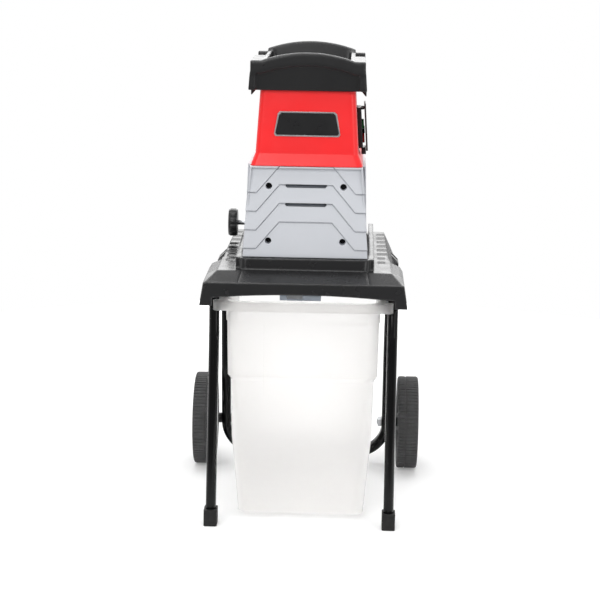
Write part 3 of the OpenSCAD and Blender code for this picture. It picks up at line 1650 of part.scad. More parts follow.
module roller_bearings() {
    color(steel) for (y = [[gc_y0, gc_y1], [chamber_y1 - chamber_t, chamber_y1]])
        yring(roller_x, roller_z, y[0], y[1], bearing_d / 2 - press_gap, shaft_d / 2 + run_play);
}

module pressure_plate() {
    color(alloy) difference() {
        block(plate_x0, plate_x1 + plate_lip, chamber_y0 + chamber_t + plate_play, chamber_y1 - chamber_t - plate_play,
            roller_z - plate_h / 2, roller_z + plate_h / 2);
        ycyl(roller_x, roller_z, chamber_y0, chamber_y1, roller_d / 2 + plate_gap);
        xcyl(roller_y, knob_z, plate_x0 - over, plate_x0 + plate_bore, spindle_d / 2 + run_play);
    }
}

module adjuster_spindle() {
    color(steel) xcyl(roller_y, knob_z, -knob_x + knob_face, plate_x0 + spindle_in, spindle_d / 2);
}

module adjuster_knob() {
    color(black) difference() {
        union() {
            xcyl(roller_y, knob_z, -knob_x, -knob_x + knob_t, knob_d / 2 - knob_edge / 2);
            xcyl(roller_y, knob_z, -knob_x + knob_edge, -knob_x + knob_t - knob_edge, knob_d / 2);
        }
        for (i = [1 : knob_n]) translate([0, roller_y, knob_z]) rotate([360 * i / knob_n, 0, 0])
            xcyl((knob_d + flute_r) / 2, 0, -knob_x - over, -knob_x + knob_t + over, flute_r);
        xcyl(roller_y, knob_z, -knob_x + knob_face, -knob_x + knob_t + over, spindle_d / 2 + press_gap);
    }
}

// Collecting box
// A part of the body between two heights, with the half width and the inset of its ends, t inside the outer face
module box_part(a, z0, b, z1, t) {
    taper(a[0] - t, body_y0 + a[1] + t, body_y1 - a[1] - t, z0, b[0] - t, body_y0 + b[1] + t, body_y1 - b[1] - t, z1,
        box_r - t);
}

module box_outside() {
    box_part(foot_in, box_floor_z, waist_in, waist_z, 0);
    box_part(waist_in, waist_z - over / 10, low_in, ledge_z, 0);
    box_part(low_in, ledge_z - over / 10, ledge_in, ledge_z + ledge_h, 0);
    box_part(ledge_in, ledge_z + ledge_h - over / 10, top_in, rim_z - over, 0);
}

module box_inside() {
    box_part(foot_in, box_floor_z + box_t, waist_in, waist_z, box_t);
    box_part(waist_in, waist_z - over / 10, low_in, ledge_z + ledge_h, box_t);
    box_part(ledge_in, ledge_z + ledge_h - over / 10, top_in, rim_z + over, box_t);
}

module rim_outline(t) {
    round_rect(-side_rim_x + t, side_rim_x - t, box_y0 + t, box_y1 - t, rim_corner);
    round_rect(-flange_x + t, flange_x - t, box_y0 + t, box_y0 + flange_d - t, flange_r);
}

// A fine rib on the front of the box
module box_rib() {
    along_x(rib_at, rib_at + box_t) polygon([[body_y0, rib_top], [body_y0 - rib_out, rib_top],
        [body_y0 + ledge_in[1] - rib_out, ledge_z + ledge_h], [body_y0 + low_in[1] - rib_out, ledge_z],
        [body_y0 + low_in[1], rib_low], [body_y0 + low_in[1] + box_t / 2, ledge_z]]);
}

module collecting_box() {
    color([0.86, 0.88, 0.87]) difference() {
        union() {
            box_outside();
            box_rib();
            translate([0, 0, rib_top]) linear_extrude(rim_z - rib_top)
                round_rect(-body_x - rib_out, body_x + rib_out, body_y0 - rib_out, body_y1 + rib_out, box_r);
            translate([0, 0, rim_z - skirt_t]) linear_extrude(skirt_t) rim_outline(0);
            translate([0, 0, rim_z - rim_h]) linear_extrude(rim_h) difference() {
                rim_outline(0);
                rim_outline(skirt_t);
            }
        }
        box_inside();
    }
}

base_platform();
front_leg_left();
front_leg_right();
rear_frame();
foot_caps();
wheel_bolts();
wheel_nuts();
wheel_spacers();
wheel_rim_left();
tyre_left();
wheel_cap_left();
wheel_rim_right();
tyre_right();
wheel_cap_right();
box_rails();
interlock_body();
interlock_plunger();
seat_gasket();
lower_housing();
motor_cover();
cover_screws();
upper_tower();
badge_plate();
badge_border();
feed_chute();
hopper_collar();
hopper_screws();
switch_body();
switch_lid();
start_button();
stop_button();
direction_switch();
power_inlet();
inlet_pins();
motor_can();
motor_shields();
motor_bearings();
rotor_core();
motor_shaft();
cooling_fan();
gearbox_case();
gearbox_cover();
layshaft();
layshaft_gear();
layshaft_bushes();
output_gear();
cutting_chamber();
cutting_roller();
roller_shaft();
roller_bearings();
pressure_plate();
adjuster_spindle();
adjuster_knob();
collecting_box();
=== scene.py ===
"""Looks of a garden shredder: camera, studio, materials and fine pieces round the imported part."""

import json
import math

import bmesh
import bpy
from mathutils import Matrix, Vector


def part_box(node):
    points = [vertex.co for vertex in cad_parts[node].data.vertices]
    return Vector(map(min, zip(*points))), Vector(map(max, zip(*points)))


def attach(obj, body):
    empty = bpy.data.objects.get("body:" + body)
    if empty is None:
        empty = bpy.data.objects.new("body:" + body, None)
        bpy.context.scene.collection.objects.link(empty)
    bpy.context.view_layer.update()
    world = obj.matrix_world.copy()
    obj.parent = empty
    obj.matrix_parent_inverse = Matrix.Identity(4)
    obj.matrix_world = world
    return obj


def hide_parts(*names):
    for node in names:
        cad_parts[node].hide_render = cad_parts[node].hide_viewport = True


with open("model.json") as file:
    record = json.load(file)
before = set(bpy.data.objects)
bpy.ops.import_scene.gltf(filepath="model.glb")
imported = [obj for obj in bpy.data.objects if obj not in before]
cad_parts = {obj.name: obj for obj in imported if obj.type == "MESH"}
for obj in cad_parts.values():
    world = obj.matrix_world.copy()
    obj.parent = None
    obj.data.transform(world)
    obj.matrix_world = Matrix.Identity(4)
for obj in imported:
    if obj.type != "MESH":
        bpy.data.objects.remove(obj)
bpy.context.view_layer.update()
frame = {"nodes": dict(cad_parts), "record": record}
nodes = frame["nodes"]
slots = {part["node"]: part["material_slot"] for part in frame["record"]["subparts"]}
scene = bpy.context.scene

MM_PER_M = 1000

# Camera at the photograph's place, in metres and radians.
CAMERA_AT = Vector((0.09175, -3.6461, 1.1388))
CAMERA_YAW = 0.0287
CAMERA_PITCH = 0.1992
CAMERA_ROLL = 0.0161
CAMERA_REACH = 300.0
LENS_MM = 108.0
SENSOR_MM = 36.0

# Room: the world's share of the light, and how dark the end behind the camera is in gloss. It
# fades by the direction's part along y.
WHITE = (1.0, 1.0, 1.0, 1.0)
WORLD_LEVEL = 0.52
ROOM_DARK = 0.25
ROOM_FADE = (-0.55, 0.15)

# Floor, in metres: FLOOR_LIFT is its glow to the camera and in gloss, FLOOR_GLOW its glow through
# the box. The camera sees it turn white over FLOOR_FADE, and gloss loses it over FLOOR_MIRRORED.
FLOOR_COLOUR = (0.86, 0.86, 0.86, 1.0)
FLOOR_LIFT = 0.22
FLOOR_GLOW = 0.36
FLOOR_CENTRE = Vector((0.0, 0.3, 0.0))
FLOOR_RADIUS = 1.7
FLOOR_SIDES = 96
FLOOR_FADE = (1.1, 1.6)
FLOOR_MIRRORED = (0.68, 0.95)

# Soft boxes: name, place, width, height, watts. They all look at AIM.
AIM = Vector((0.0, 0.0, 0.5))
SOFT_BOXES = (
    ("key_box", Vector((-1.3, -3.4, 2.5)), 2.4, 1.8, 63.0),
    ("fill_box", Vector((2.6, -2.6, 1.5)), 1.8, 1.8, 26.0),
    ("back_box", Vector((0.0, 3.2, 2.1)), 4.5, 1.9, 60.0),
    ("top_box", Vector((0.0, 0.0, 3.2)), 2.2, 2.2, 44.0),
)

# Vertices of a solid closer than this are one, and faces that bend less than this are one face.
WELD_REACH = 0.00001
FLAT_ANGLE = math.radians(0.4)

# Rounding of the edges of the solids: default and for single nodes, in metres.
EDGE_ROUND = 0.0012
EDGE_ROUNDS = {
    "base_platform": 0.0022,
    "upper_tower": 0.0016,
    "motor_cover": 0.0008,
    "foot_caps": 0.0022,
    "collecting_box": 0.003,
    "badge_border": 0.0003,
    "badge_plate": 0.0004,
    "inlet_pins": 0.0004,
    "seat_gasket": 0.0002,
    "box_rails": 0.0005,
    "layshaft_gear": 0.0003,
    "output_gear": 0.0003,
    "layshaft": 0.0003,
    "motor_shaft": 0.0003,
    "cutting_roller": 0.0004,
    "cooling_fan": 0.0003,
}
EDGE_ANGLE = math.radians(28)
EDGE_SEGMENTS = 2

# Thick-walled mouldings that are rounded all over by a skin: its grid in metres, its smoothing
# and the share of its faces that is kept.
SOFT_FORMS = {"hopper_collar": 0.0013}
SOFT_FACTOR = 0.5
SOFT_STEPS = 11
SOFT_SHARE = 0.16

# Section of a tyre, in millimetres: (place across, radius, share of the tread's depth). The sides
# are measured from either face, the crown from the inner face.
TYRE_SIDE = (
    (3.0, 80.05, 0.0),
    (1.6, 84.0, 0.0),
    (1.4, 86.0, 0.0),
    (0.7, 86.4, 0.0),
    (0.6, 88.2, 0.0),
    (1.1, 88.6, 0.0),
    (0.2, 92.5, 0.0),
    (0.5, 96.0, 0.3),
    (1.6, 98.4, 1.0),
    (3.4, 99.6, 1.0),
    (6.0, 100.0, 1.0),
)
TYRE_CROWN = (
    (15.4, 100.0, 0.8),
    (15.9, 99.5, 0.4),
    (16.4, 98.2, 0.0),
    (17.6, 98.2, 0.0),
    (18.1, 99.5, 0.4),
    (18.6, 100.0, 0.8),
    (30.0, 100.0, 0.7),
)
# Tread: pitches round the tyre, and steps of a pitch as (share of the pitch, depth in millimetres).
TREAD_PITCHES = 80
TREAD_STEPS = ((0.0, 1.8), (0.07, 0.0), (0.70, 0.0), (0.77, 1.8))

# Louvres in the two vents of the motor cover, in millimetres: front and foot of each vent, then
# the rows of a louvre as (depth behind the front, height over the foot, half width).
VENTS = ((-154.9, 657.0), (-157.3, 620.4))
LOUVRE_ROWS = (
    (3.6, 0.1, 37.3),
    (4.4, 1.2, 38.4),
    (5.6, 2.9, 40.1),
    (7.0, 4.6, 40.2),
    (8.2, 5.7, 40.2),
    (9.8, 6.6, 40.2),
)
LOUVRE_THICK = 1.4

# Slots in the base's wings, in millimetres. The first SLOT_SHORT of a side end on top of the wing.
SLOT_FIRST = -95.2
SLOT_PITCH = 38.6
SLOT_COUNT = 8
SLOT_SHORT = 2
SLOT_HALF = 8.4
SLOT_DEEP = 2.5
SLOT_INNER = 144.1
SLOT_OUTER = 157.9
# The wings rise to the rear by WING_RISE, from WING_Z at the middle of the part. They end at a
# slope of WING_SLOPE that has the half width WING_X at the height WING_X_Z.
WING_Z = 505.53
WING_RISE = 0.04633
WING_X = 164.6
WING_X_Z = 503.9
WING_SLOPE = 2.22
# Section of a slot's sloped floor: (place along it in half widths, height over the slot's bottom).
SLAT_SECTION = ((-0.45, 0.05), (1.0, 0.05), (1.0, 2.35), (-0.45, 0.3))

# Sockets of a Mix node by number, because their names repeat for each type of value.
FLOAT_INPUTS, FLOAT_OUTPUT = (2, 3), 0
COLOUR_INPUTS, COLOUR_OUTPUT = (6, 7), 2

# Masks: a noise between these limits fills its range, an edge's normals agree less than this, a
# slight rounding's less than that, and a normal that rises so far faces up.
NOISE_LIMITS = (0.3, 0.7)
EDGE_LIMITS = (0.97, 0.80)
SLIGHT_EDGE_LIMITS = (0.999, 0.96)
UPWARD_LIMITS = (0.05, 0.5)
BEVEL_SAMPLES = 8

# Black plastic of the mouldings, and what its finishes share.
BLACK = (0.019, 0.019, 0.0198)
FINE_GRAIN = 0.00003
LOW_GLOSS = 0.35
BLACK_FINISH = {"depth": FINE_GRAIN, "Specular_IOR_Level": LOW_GLOSS}
DUST = (0.35, 0.35, 0.34)

# Nodes that have a finish of their own instead of their slot's, with more painted highlight on
# their pale edges.
OWN_LOOKS = {"hopper_collar": "hopper_plastic", "base_platform": "base_plastic"}


def add_camera():
    """A camera with the photograph's place, turn and focal length."""
    side = Vector((math.cos(CAMERA_YAW), math.sin(CAMERA_YAW), 0.0))
    ahead = Vector((-math.sin(CAMERA_YAW), math.cos(CAMERA_YAW), 0.0))
    up = Vector((0.0, 0.0, 1.0))
    view = ahead * math.cos(CAMERA_PITCH) - up * math.sin(CAMERA_PITCH)
    rise = ahead * math.sin(CAMERA_PITCH) + up * math.cos(CAMERA_PITCH)
    right = side * math.cos(CAMERA_ROLL) + rise * math.sin(CAMERA_ROLL)
    top = rise * math.cos(CAMERA_ROLL) - side * math.sin(CAMERA_ROLL)
    turn = Matrix((right, top, -view)).transposed().to_4x4()
    data = bpy.data.cameras.new("camera")
    data.sensor_fit = "HORIZONTAL"
    data.sensor_width = SENSOR_MM
    data.lens = LENS_MM
    data.clip_end = CAMERA_REACH
    camera = bpy.data.objects.new("camera", data)
    scene.collection.objects.link(camera)
    camera.matrix_world = Matrix.Translation(CAMERA_AT) @ turn
    scene.camera = camera


def any_ray(tree, *kinds):
    """A socket that is 1 for rays of these kinds, and 0 for the light on the object."""
    path = tree.nodes.new("ShaderNodeLightPath")
    total = path.outputs[kinds[0]]
    for kind in kinds[1:]:
        either = tree.nodes.new("ShaderNodeMath")
        either.operation = "MAXIMUM"
        tree.links.new(total, either.inputs[0])
        tree.links.new(path.outputs[kind], either.inputs[1])
        total = either.outputs[0]
    return total


def blend(tree, share, first, second):
    """A socket with the first value where share is 0 and the second where it is 1."""
    mixer = tree.nodes.new("ShaderNodeMix")
    tree.links.new(share, mixer.inputs["Factor"])
    for place, value in zip(FLOAT_INPUTS, (first, second)):
        if isinstance(value, float):
            mixer.inputs[place].default_value = value
        else:
            tree.links.new(value, mixer.inputs[place])
    return mixer.outputs[FLOAT_OUTPUT]


def map_range(tree, value, limits, ends, smooth=False):
    """A socket that goes from one end to the other while the value goes between its limits."""
    spread = tree.nodes.new("ShaderNodeMapRange")
    if smooth:
        spread.interpolation_type = "SMOOTHSTEP"
    names = ("From Min", "From Max", "To Min", "To Max")
    for name, number in zip(names, (*limits, *ends)):
        spread.inputs[name].default_value = number
    tree.links.new(value, spread.inputs["Value"])
    return spread.outputs["Result"]


def add_world():
    """A world that is white to the eye and lights the object at a plain level.

    In gloss and through the box it is white at the back and darker behind the camera.
    """
    world = bpy.data.worlds.new("studio")
    scene.world = world
    world.use_nodes = True
    tree = world.node_tree
    tree.nodes.clear()
    direction = tree.nodes.new("ShaderNodeTexCoord")
    axes = tree.nodes.new("ShaderNodeSeparateXYZ")
    tree.links.new(direction.outputs["Generated"], axes.inputs[0])
    room = map_range(tree, axes.outputs["Y"], ROOM_FADE, (ROOM_DARK, 1.0), smooth=True)
    mirrored = any_ray(tree, "Is Glossy Ray", "Is Transmission Ray")
    level = blend(tree, mirrored, WORLD_LEVEL, room)
    level = blend(tree, any_ray(tree, "Is Camera Ray"), level, 1.0)
    background = tree.nodes.new("ShaderNodeBackground")
    background.inputs["Color"].default_value = WHITE
    tree.links.new(level, background.inputs["Strength"])
    output = tree.nodes.new("ShaderNodeOutputWorld")
    tree.links.new(background.outputs[0], output.inputs["Surface"])


def outward(tree, limits, ends):
    """A socket that changes between two distances from the middle of the floor."""
    place = tree.nodes.new("ShaderNodeTexCoord")
    reach = tree.nodes.new("ShaderNodeVectorMath")
    reach.operation = "LENGTH"
    tree.links.new(place.outputs["Object"], reach.inputs[0])
    return map_range(tree, reach.outputs["Value"], limits, ends, smooth=True)


def floor_material():
    """A pale floor that shows white further out, and ends early in gloss."""
    material = bpy.data.materials.new("studio_floor")
    material.use_nodes = True
    tree = material.node_tree
    tree.nodes.clear()
    diffuse = tree.nodes.new("ShaderNodeBsdfDiffuse")
    diffuse.inputs["Color"].default_value = FLOOR_COLOUR
    fade = outward(tree, FLOOR_FADE, (FLOOR_LIFT, 1.0))
    lift = blend(tree, any_ray(tree, "Is Glossy Ray"), 0.0, FLOOR_LIFT)
    lift = blend(tree, any_ray(tree, "Is Transmission Ray"), lift, FLOOR_GLOW)
    lift = blend(tree, any_ray(tree, "Is Camera Ray"), lift, fade)
    glow = tree.nodes.new("ShaderNodeEmission")
    tree.links.new(lift, glow.inputs["Strength"])
    both = tree.nodes.new("ShaderNodeAddShader")
    tree.links.new(diffuse.outputs[0], both.inputs[0])
    tree.links.new(glow.outputs[0], both.inputs[1])
    solid = tree.nodes.new("ShaderNodeMixShader")
    near = outward(tree, FLOOR_MIRRORED, (1.0, 0.0))
    seen = blend(tree, any_ray(tree, "Is Glossy Ray"), 1.0, near)
    tree.links.new(seen, solid.inputs["Fac"])
    clear = tree.nodes.new("ShaderNodeBsdfTransparent")
    tree.links.new(clear.outputs[0], solid.inputs[1])
    tree.links.new(both.outputs[0], solid.inputs[2])
    output = tree.nodes.new("ShaderNodeOutputMaterial")
    tree.links.new(solid.outputs[0], output.inputs["Surface"])
    return material


def add_object(name, shape, material):
    """An object with the mesh of a bmesh, which is used up."""
    mesh = bpy.data.meshes.new(name)
    shape.to_mesh(mesh)
    shape.free()
    mesh.materials.append(material)
    made = bpy.data.objects.new(name, mesh)
    scene.collection.objects.link(made)
    return made


def add_floor():
    """A round floor that keeps the object's shadow."""
    shape = bmesh.new()
    bmesh.ops.create_circle(shape, cap_ends=True, radius=FLOOR_RADIUS, segments=FLOOR_SIDES)
    floor = add_object("studio_floor", shape, floor_material())
    floor.location = FLOOR_CENTRE


def add_soft_boxes():
    """Large soft area lamps that all look at the middle of the object."""
    for name, place, width, height, watts in SOFT_BOXES:
        data = bpy.data.lights.new(name, "AREA")
        data.shape = "RECTANGLE"
        data.size = width
        data.size_y = height
        data.energy = watts
        lamp = bpy.data.objects.new(name, data)
        scene.collection.objects.link(lamp)
        lamp.location = place
        lamp.rotation_euler = (AIM - place).to_track_quat("-Z", "Y").to_euler()
        lamp.visible_camera = False


class Look:
    """A node material on one Principled shader, with textures in the piece's own space."""

    def __init__(self, name, colour, roughness, **sockets):
        self.material = bpy.data.materials.new(name)
        self.material.use_nodes = True
        self.tree = self.material.node_tree
        self.shader = self.tree.nodes["Principled BSDF"]
        self.colour = colour
        self.set("Base Color", (*colour, 1.0))
        self.set("Roughness", roughness)
        for socket, value in sockets.items():
            self.set(socket.replace("_", " "), value)
        self.space = self.node("ShaderNodeTexCoord").outputs["Object"]
        self.normal = None

    def node(self, kind, **settings):
        made = self.tree.nodes.new(kind)
        for name, value in settings.items():
            setattr(made, name, value)
        return made

    def link(self, start, end):
        self.tree.links.new(start, end)

    def set(self, socket, value):
        self.shader.inputs[socket].default_value = value

    def noise(self, scale, detail, stretch=(1.0, 1.0, 1.0)):
        """Noise of so many cells per metre, stretched along the axes."""
        mapping = self.node("ShaderNodeMapping")
        mapping.inputs["Scale"].default_value = stretch
        self.link(self.space, mapping.inputs["Vector"])
        noise = self.node("ShaderNodeTexNoise")
        noise.inputs["Scale"].default_value = scale
        noise.inputs["Detail"].default_value = detail
        self.link(mapping.outputs["Vector"], noise.inputs["Vector"])
        return noise.outputs["Fac"]

    def ramp(self, value, limits, ends=(0.0, 1.0)):
        """The value between its limits, spread to the ends."""
        return map_range(self.tree, value, limits, ends)

    def clouds(self, scale, detail, ends=(0.0, 1.0)):
        """Noise of so many cells per metre that fills the range between the ends."""
        return self.ramp(self.noise(scale, detail), NOISE_LIMITS, ends)

    def product(self, first, second):
        """One socket times another."""
        times = self.node("ShaderNodeMath", operation="MULTIPLY")
        self.link(first, times.inputs[0])
        self.link(second, times.inputs[1])
        return times.outputs[0]

    def mix(self, share, first, second):
        """Two colours, or sockets, mixed by share."""
        mixer = self.node("ShaderNodeMix", data_type="RGBA")
        self.link(share, mixer.inputs["Factor"])
        for place, value in zip(COLOUR_INPUTS, (first, second)):
            if isinstance(value, tuple):
                mixer.inputs[place].default_value = (*value, 1.0)
            else:
                self.link(value, mixer.inputs[place])
        return mixer.outputs[COLOUR_OUTPUT]

    def edges(self, radius, limits):
        """Softens the shading of edges, and gives a mask: 1 on edges and 0 on flat faces."""
        rounded = self.node("ShaderNodeBevel", samples=BEVEL_SAMPLES)
        rounded.inputs["Radius"].default_value = radius
        plain = self.node("ShaderNodeNewGeometry")
        dot = self.node("ShaderNodeVectorMath", operation="DOT_PRODUCT")
        self.link(rounded.outputs["Normal"], dot.inputs[0])
        self.link(plain.outputs["Normal"], dot.inputs[1])
        self.normal = rounded.outputs["Normal"]
        return self.ramp(dot.outputs["Value"], limits)

    def upward(self, mask):
        """The part of a mask that lies on surfaces facing up."""
        axes = self.node("ShaderNodeSeparateXYZ")
        self.link(self.node("ShaderNodeNewGeometry").outputs["Normal"], axes.inputs[0])
        return self.product(mask, self.ramp(axes.outputs["Z"], UPWARD_LIMITS))

    def tone(self, share, dark, light):
        """Base colour that drifts between a darker and a lighter tone."""
        first = tuple(c * dark for c in self.colour)
        second = tuple(min(1.0, c * light) for c in self.colour)
        return self.mix(share, first, second)

    def bump(self, height, depth):
        """Adds relief of so many metres to the normal."""
        bump = self.node("ShaderNodeBump")
        bump.inputs["Strength"].default_value = 1.0
        bump.inputs["Distance"].default_value = depth
        self.link(height, bump.inputs["Height"])
        if self.normal is not None:
            self.link(self.normal, bump.inputs["Normal"])
        self.normal = bump.outputs["Normal"]
        self.link(self.normal, self.shader.inputs["Normal"])

    def paint(self, colour):
        self.link(colour, self.shader.inputs["Base Color"])

    def rough(self, value):
        self.link(value, self.shader.inputs["Roughness"])


def moulded(
    name,
    colour,
    roughness,
    depth=0.00006,
    drift=0.08,
    wear=0.25,
    soft=0.0025,
    rub=0.05,
    top=False,
    even=0.0,
    **sockets,
):
    """Injection-moulded plastic: fine grain, slow colour drift and paler edges, partly rubbed wear
    and partly painted highlight.

    depth is the grain's and soft the edges' radius, in metres. wear is how much of the pale colour
    the edges get, at least the share even of it, and rub is how pale that is. With top, only edges
    that face up get it, as a painted highlight of the light from above.
    """
    look = Look(name, colour, roughness, **sockets)
    slow = look.clouds(scale=7.0, detail=4.0)
    tone = look.tone(slow, 1.0 - drift, 1.0 + drift)
    # Pale edges: partly rubbed wear and partly painted highlight; with top only the upward edges, a
    # painted highlight of the light from above.
    if top:
        edges = look.upward(look.edges(soft, SLIGHT_EDGE_LIMITS))
    else:
        edges = look.edges(soft, EDGE_LIMITS)
    patches = look.ramp(look.noise(scale=60.0, detail=5.0), (0.35, 0.75), (wear * even, wear))
    pale = tuple(min(1.0, c * 1.6 + rub) for c in colour)
    look.paint(look.mix(look.product(edges, patches), tone, pale))
    look.rough(look.clouds(scale=38.0, detail=4.0, ends=(roughness - 0.05, roughness + 0.06)))
    look.bump(look.noise(scale=1400.0, detail=2.0), depth)
    return look.material


def tube_paint(name, colour):
    """Stove-enamelled steel tube: glossy, with a slight orange peel."""
    look = Look(name, colour, 0.09, Specular_IOR_Level=0.22)
    look.paint(look.tone(look.clouds(scale=14.0, detail=3.0), dark=0.9, light=1.12))
    look.rough(look.clouds(scale=55.0, detail=3.0, ends=(0.07, 0.12)))
    look.bump(look.noise(scale=420.0, detail=2.0), depth=0.00005)
    return look.material


def rubber(name, colour, speckle):
    """Rubber: matt, slightly dusty, with fine pores."""
    look = Look(name, colour, 0.68, Specular_IOR_Level=LOW_GLOSS)
    dust = look.ramp(look.noise(scale=900.0, detail=3.0), (0.62, 0.78), (0.0, speckle))
    tone = look.tone(look.clouds(scale=24.0, detail=4.0), dark=0.85, light=1.15)
    look.paint(look.mix(dust, tone, DUST))
    look.rough(look.clouds(scale=80.0, detail=3.0, ends=(0.6, 0.78)))
    look.bump(look.noise(scale=1500.0, detail=3.0), depth=0.0001)
    return look.material


def metal(name, colour, roughness, stretch=(1.0, 1.0, 1.0)):
    """Bare or plated metal with fine machining lines and slight stains."""
    look = Look(name, colour, roughness, Metallic=1.0)
    lines = look.noise(scale=900.0, detail=3.0, stretch=stretch)
    stain = look.ramp(look.noise(scale=30.0, detail=5.0), (0.3, 0.75))
    look.paint(look.tone(stain, dark=0.8, light=1.08))
    look.rough(look.ramp(lines, NOISE_LIMITS, (roughness - 0.06, roughness + 0.1)))
    look.bump(lines, FINE_GRAIN)
    return look.material


def cast(name, colour):
    """Die-cast alloy with a sandy skin."""
    look = Look(name, colour, 0.5, Metallic=0.85)
    look.paint(look.tone(look.clouds(scale=45.0, detail=5.0), dark=0.82, light=1.1))
    look.rough(look.clouds(scale=300.0, detail=3.0, ends=(0.42, 0.62)))
    look.bump(look.noise(scale=700.0, detail=3.0), depth=0.00015)
    return look.material


def milky(name, colour):
    """Translucent natural plastic of the box, with slow clouds in the wall."""
    look = Look(name, colour, 0.65, Transmission_Weight=0.97, IOR=1.28, Specular_IOR_Level=0.4)
    look.paint(look.tone(look.clouds(scale=6.0, detail=3.0), dark=0.985, light=1.0))
    look.rough(look.clouds(scale=26.0, detail=3.0, ends=(0.62, 0.7)))
    look.bump(look.noise(scale=500.0, detail=2.0), depth=0.00005)
    return look.material


LOOKS = {}


def add_look(maker, name, *values, **settings):
    """Makes a material and keeps it under its name."""
    LOOKS[name] = maker(name, *values, **settings)


def add_looks():
    """The materials of all slots and of single pieces."""
    # Pale edges on the black mouldings: partly wear and partly painted highlight.
    add_look(moulded, "black_plastic", BLACK, 0.32, wear=0.7, soft=0.005, **BLACK_FINISH)
    # Painted highlight: stronger pale edges on the base stand in for the light on its rounded
    # edges.
    add_look(
        moulded,
        "base_plastic",
        BLACK,
        0.24,
        wear=0.8,
        soft=0.006,
        rub=0.1,
        even=0.4,
        **BLACK_FINISH,
    )
    # Painted highlight: pale upward rim edges of the hopper stand in for the light from above.
    add_look(
        moulded,
        "hopper_plastic",
        BLACK,
        0.32,
        wear=0.8,
        soft=0.009,
        rub=0.16,
        top=True,
        even=0.7,
        **BLACK_FINISH,
    )
    add_look(moulded, "slat_plastic", BLACK, 0.24, wear=0.1, soft=0.0004, **BLACK_FINISH)
    add_look(tube_paint, "black_tube", (0.004, 0.004, 0.0042))
    add_look(rubber, "rubber", (0.012, 0.012, 0.012), speckle=0.1)
    add_look(metal, "zinc_steel", (0.62, 0.63, 0.65), 0.34)
    add_look(moulded, "wheel_plastic", (0.018, 0.018, 0.018), 0.5, Specular_IOR_Level=LOW_GLOSS)
    add_look(rubber, "tyre", (0.06, 0.06, 0.061), speckle=0.3)
    add_look(moulded, "lock_grey", (0.24, 0.27, 0.31), 0.4)
    # Painted shade: a darker copy of the cover's grey stands in for the shade inside the vents.
    add_look(moulded, "louvre_grey", (0.1, 0.11, 0.125), 0.45)
    add_look(moulded, "grey_plastic", (0.575, 0.592, 0.628), 0.4, drift=0.03, wear=0.1)
    add_look(metal, "black_screw", (0.03, 0.03, 0.032), 0.4)
    add_look(moulded, "red_plastic", (0.9, 0.014, 0.017), 0.36, drift=0.05, wear=0.1)
    add_look(moulded, "badge_black", (0.008, 0.008, 0.009), 0.3, depth=FINE_GRAIN)
    add_look(metal, "badge_silver", (0.82, 0.82, 0.84), 0.28, stretch=(1.0, 1.0, 12.0))
    add_look(moulded, "green_plastic", (0.02, 0.28, 0.05), 0.35)
    add_look(moulded, "button_red", (0.6, 0.014, 0.014), 0.35)
    add_look(metal, "brass", (0.85, 0.62, 0.28), 0.3)
    add_look(metal, "motor_steel", (0.3, 0.31, 0.33), 0.45)
    add_look(cast, "cast_alloy", (0.55, 0.56, 0.57))
    add_look(metal, "bright_steel", (0.72, 0.72, 0.73), 0.22, stretch=(1.0, 14.0, 1.0))
    add_look(metal, "gear_steel", (0.5, 0.5, 0.51), 0.35, stretch=(1.0, 10.0, 1.0))
    add_look(metal, "tool_steel", (0.42, 0.42, 0.44), 0.32, stretch=(1.0, 6.0, 1.0))
    add_look(milky, "milky_plastic", (0.98, 0.974, 0.968))


def modify(solid, name, kind, **settings):
    """Adds a modifier with these settings."""
    modifier = solid.modifiers.new(name, kind)
    for setting, value in settings.items():
        setattr(modifier, setting, value)


def dress(name, solid):
    """Gives a node its material and softly rounded edges."""
    solid.data.materials.clear()
    solid.data.materials.append(LOOKS[OWN_LOOKS.get(name, slots[name])])
    modify(solid, "weld", "WELD", merge_threshold=WELD_REACH)
    if name in SOFT_FORMS:
        grid = SOFT_FORMS[name]
        modify(solid, "skin", "REMESH", mode="VOXEL", voxel_size=grid, use_smooth_shade=True)
        modify(solid, "smooth", "SMOOTH", factor=SOFT_FACTOR, iterations=SOFT_STEPS)
        modify(solid, "thin", "DECIMATE", ratio=SOFT_SHARE)
        return
    modify(solid, "flat", "DECIMATE", decimate_type="DISSOLVE", angle_limit=FLAT_ANGLE)
    modify(
        solid,
        "edge",
        "BEVEL",
        width=EDGE_ROUNDS.get(name, EDGE_ROUND),
        segments=EDGE_SEGMENTS,
        limit_method="ANGLE",
        angle_limit=EDGE_ANGLE,
        harden_normals=True,
        use_clamp_overlap=True,
    )


def add_piece(name, shape, look):
    """A piece with a closed bmesh and one of the looks."""
    bmesh.ops.recalc_face_normals(shape, faces=shape.faces)
    return add_object(name, shape, LOOKS[look])


def join(shape, first, second):
    """Faces between two rings of vertices."""
    for i in range(len(first)):
        j = (i + 1) % len(first)
        shape.faces.new((first[i], first[j], second[j], second[i]))


def tyre_section(low, high):
    """Section of a tyre between two faces, as (place across, radius, share of the depth)."""
    inner = [(low + inset, radius, share) for inset, radius, share in TYRE_SIDE]
    crown = [(low + across, radius, share) for across, radius, share in TYRE_CROWN]
    outer = [(high - inset, radius, share) for inset, radius, share in reversed(TYRE_SIDE)]
    return inner + crown + outer


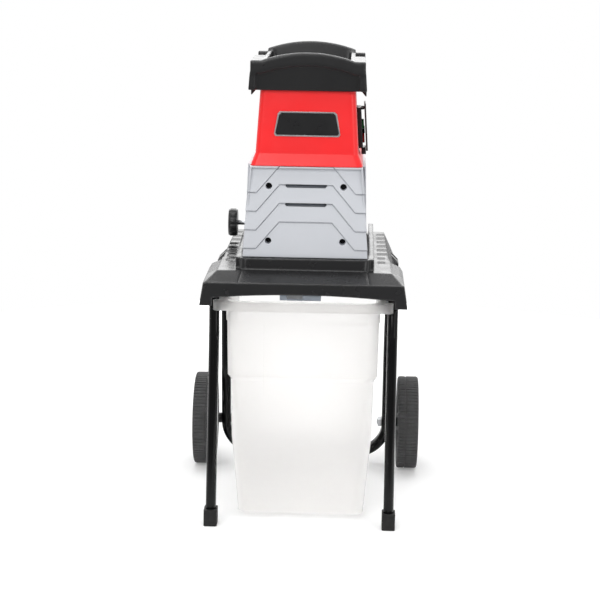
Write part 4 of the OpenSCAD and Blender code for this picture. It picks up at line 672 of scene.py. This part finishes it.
def add_tyre(node, body, side):
    """A tyre with a real tread in place of the plain solid ring."""
    least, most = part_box(node)
    middle = (least + most) / 2
    inner, outer = (least.x, most.x) if side > 0 else (-most.x, -least.x)
    section = tyre_section(inner * MM_PER_M, outer * MM_PER_M)
    shape = bmesh.new()
    rings = []
    for pitch in range(TREAD_PITCHES):
        for place, deep in TREAD_STEPS:
            turn = 2 * math.pi * (pitch + place) / TREAD_PITCHES
            ring = []
            for across, radius, share in section:
                reach = radius - deep * share
                x = side * across / MM_PER_M
                y = middle.y + reach * math.cos(turn) / MM_PER_M
                z = middle.z + reach * math.sin(turn) / MM_PER_M
                ring.append(shape.verts.new((x, y, z)))
            rings.append(ring)
    for first, second in zip(rings, rings[1:] + rings[:1]):
        join(shape, first, second)
    tyre = add_piece(node + "_tread", shape, "tyre")
    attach(tyre, body)
    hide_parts(node)


def vertex(shape, x, y, z):
    """A new vertex at a place in millimetres."""
    return shape.verts.new((x / MM_PER_M, y / MM_PER_M, z / MM_PER_M))


def add_louvre(name, front, foot):
    """A curved louvre inside a vent of the motor cover."""
    shape = bmesh.new()
    face, rear = [], []
    for rows, back in ((face, 0.0), (rear, LOUVRE_THICK)):
        for depth, height, half in LOUVRE_ROWS:
            y = front + depth + back
            z = foot + height
            rows.append([vertex(shape, side * half, y, z) for side in (-1, 1)])
    for i in range(len(LOUVRE_ROWS) - 1):
        shape.faces.new((*face[i], *reversed(face[i + 1])))
        shape.faces.new((*rear[i], *reversed(rear[i + 1])))
        for end in (0, 1):
            shape.faces.new((face[i][end], face[i + 1][end], rear[i + 1][end], rear[i][end]))
    for row in (0, -1):
        shape.faces.new((*face[row], *reversed(rear[row])))
    # Its darker grey is painted shade inside the vent.
    louvre = add_piece(name, shape, "louvre_grey")
    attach(louvre, "frame")


def add_slats():
    """Floors that rise inside each slot of the wings to its rear edge."""
    shape = bmesh.new()
    for side in (-1, 1):
        for number in range(SLOT_COUNT):
            middle = SLOT_FIRST + number * SLOT_PITCH
            inner, outer = [], []
            for along, up in SLAT_SECTION:
                y = middle + along * SLOT_HALF
                z = WING_Z + WING_RISE * y - SLOT_DEEP + up
                slope = WING_X - (z - WING_X_Z) / WING_SLOPE
                end = SLOT_OUTER if number < SLOT_SHORT else slope
                inner.append(vertex(shape, side * SLOT_INNER, y, z))
                outer.append(vertex(shape, side * end, y, z))
            shape.faces.new(inner)
            shape.faces.new(outer)
            join(shape, inner, outer)
    slats = add_piece("wing_slats", shape, "slat_plastic")
    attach(slats, "frame")


add_camera()
add_world()
add_floor()
add_soft_boxes()
add_looks()
for node_name, node_object in nodes.items():
    dress(node_name, node_object)
add_tyre("tyre_left", "wheel_left", -1)
add_tyre("tyre_right", "wheel_right", 1)
for number, (vent_front, vent_foot) in enumerate(VENTS, 1):
    add_louvre(f"vent_louvre_{number}", vent_front, vent_foot)
add_slats()

scene.view_settings.view_transform = "Standard"
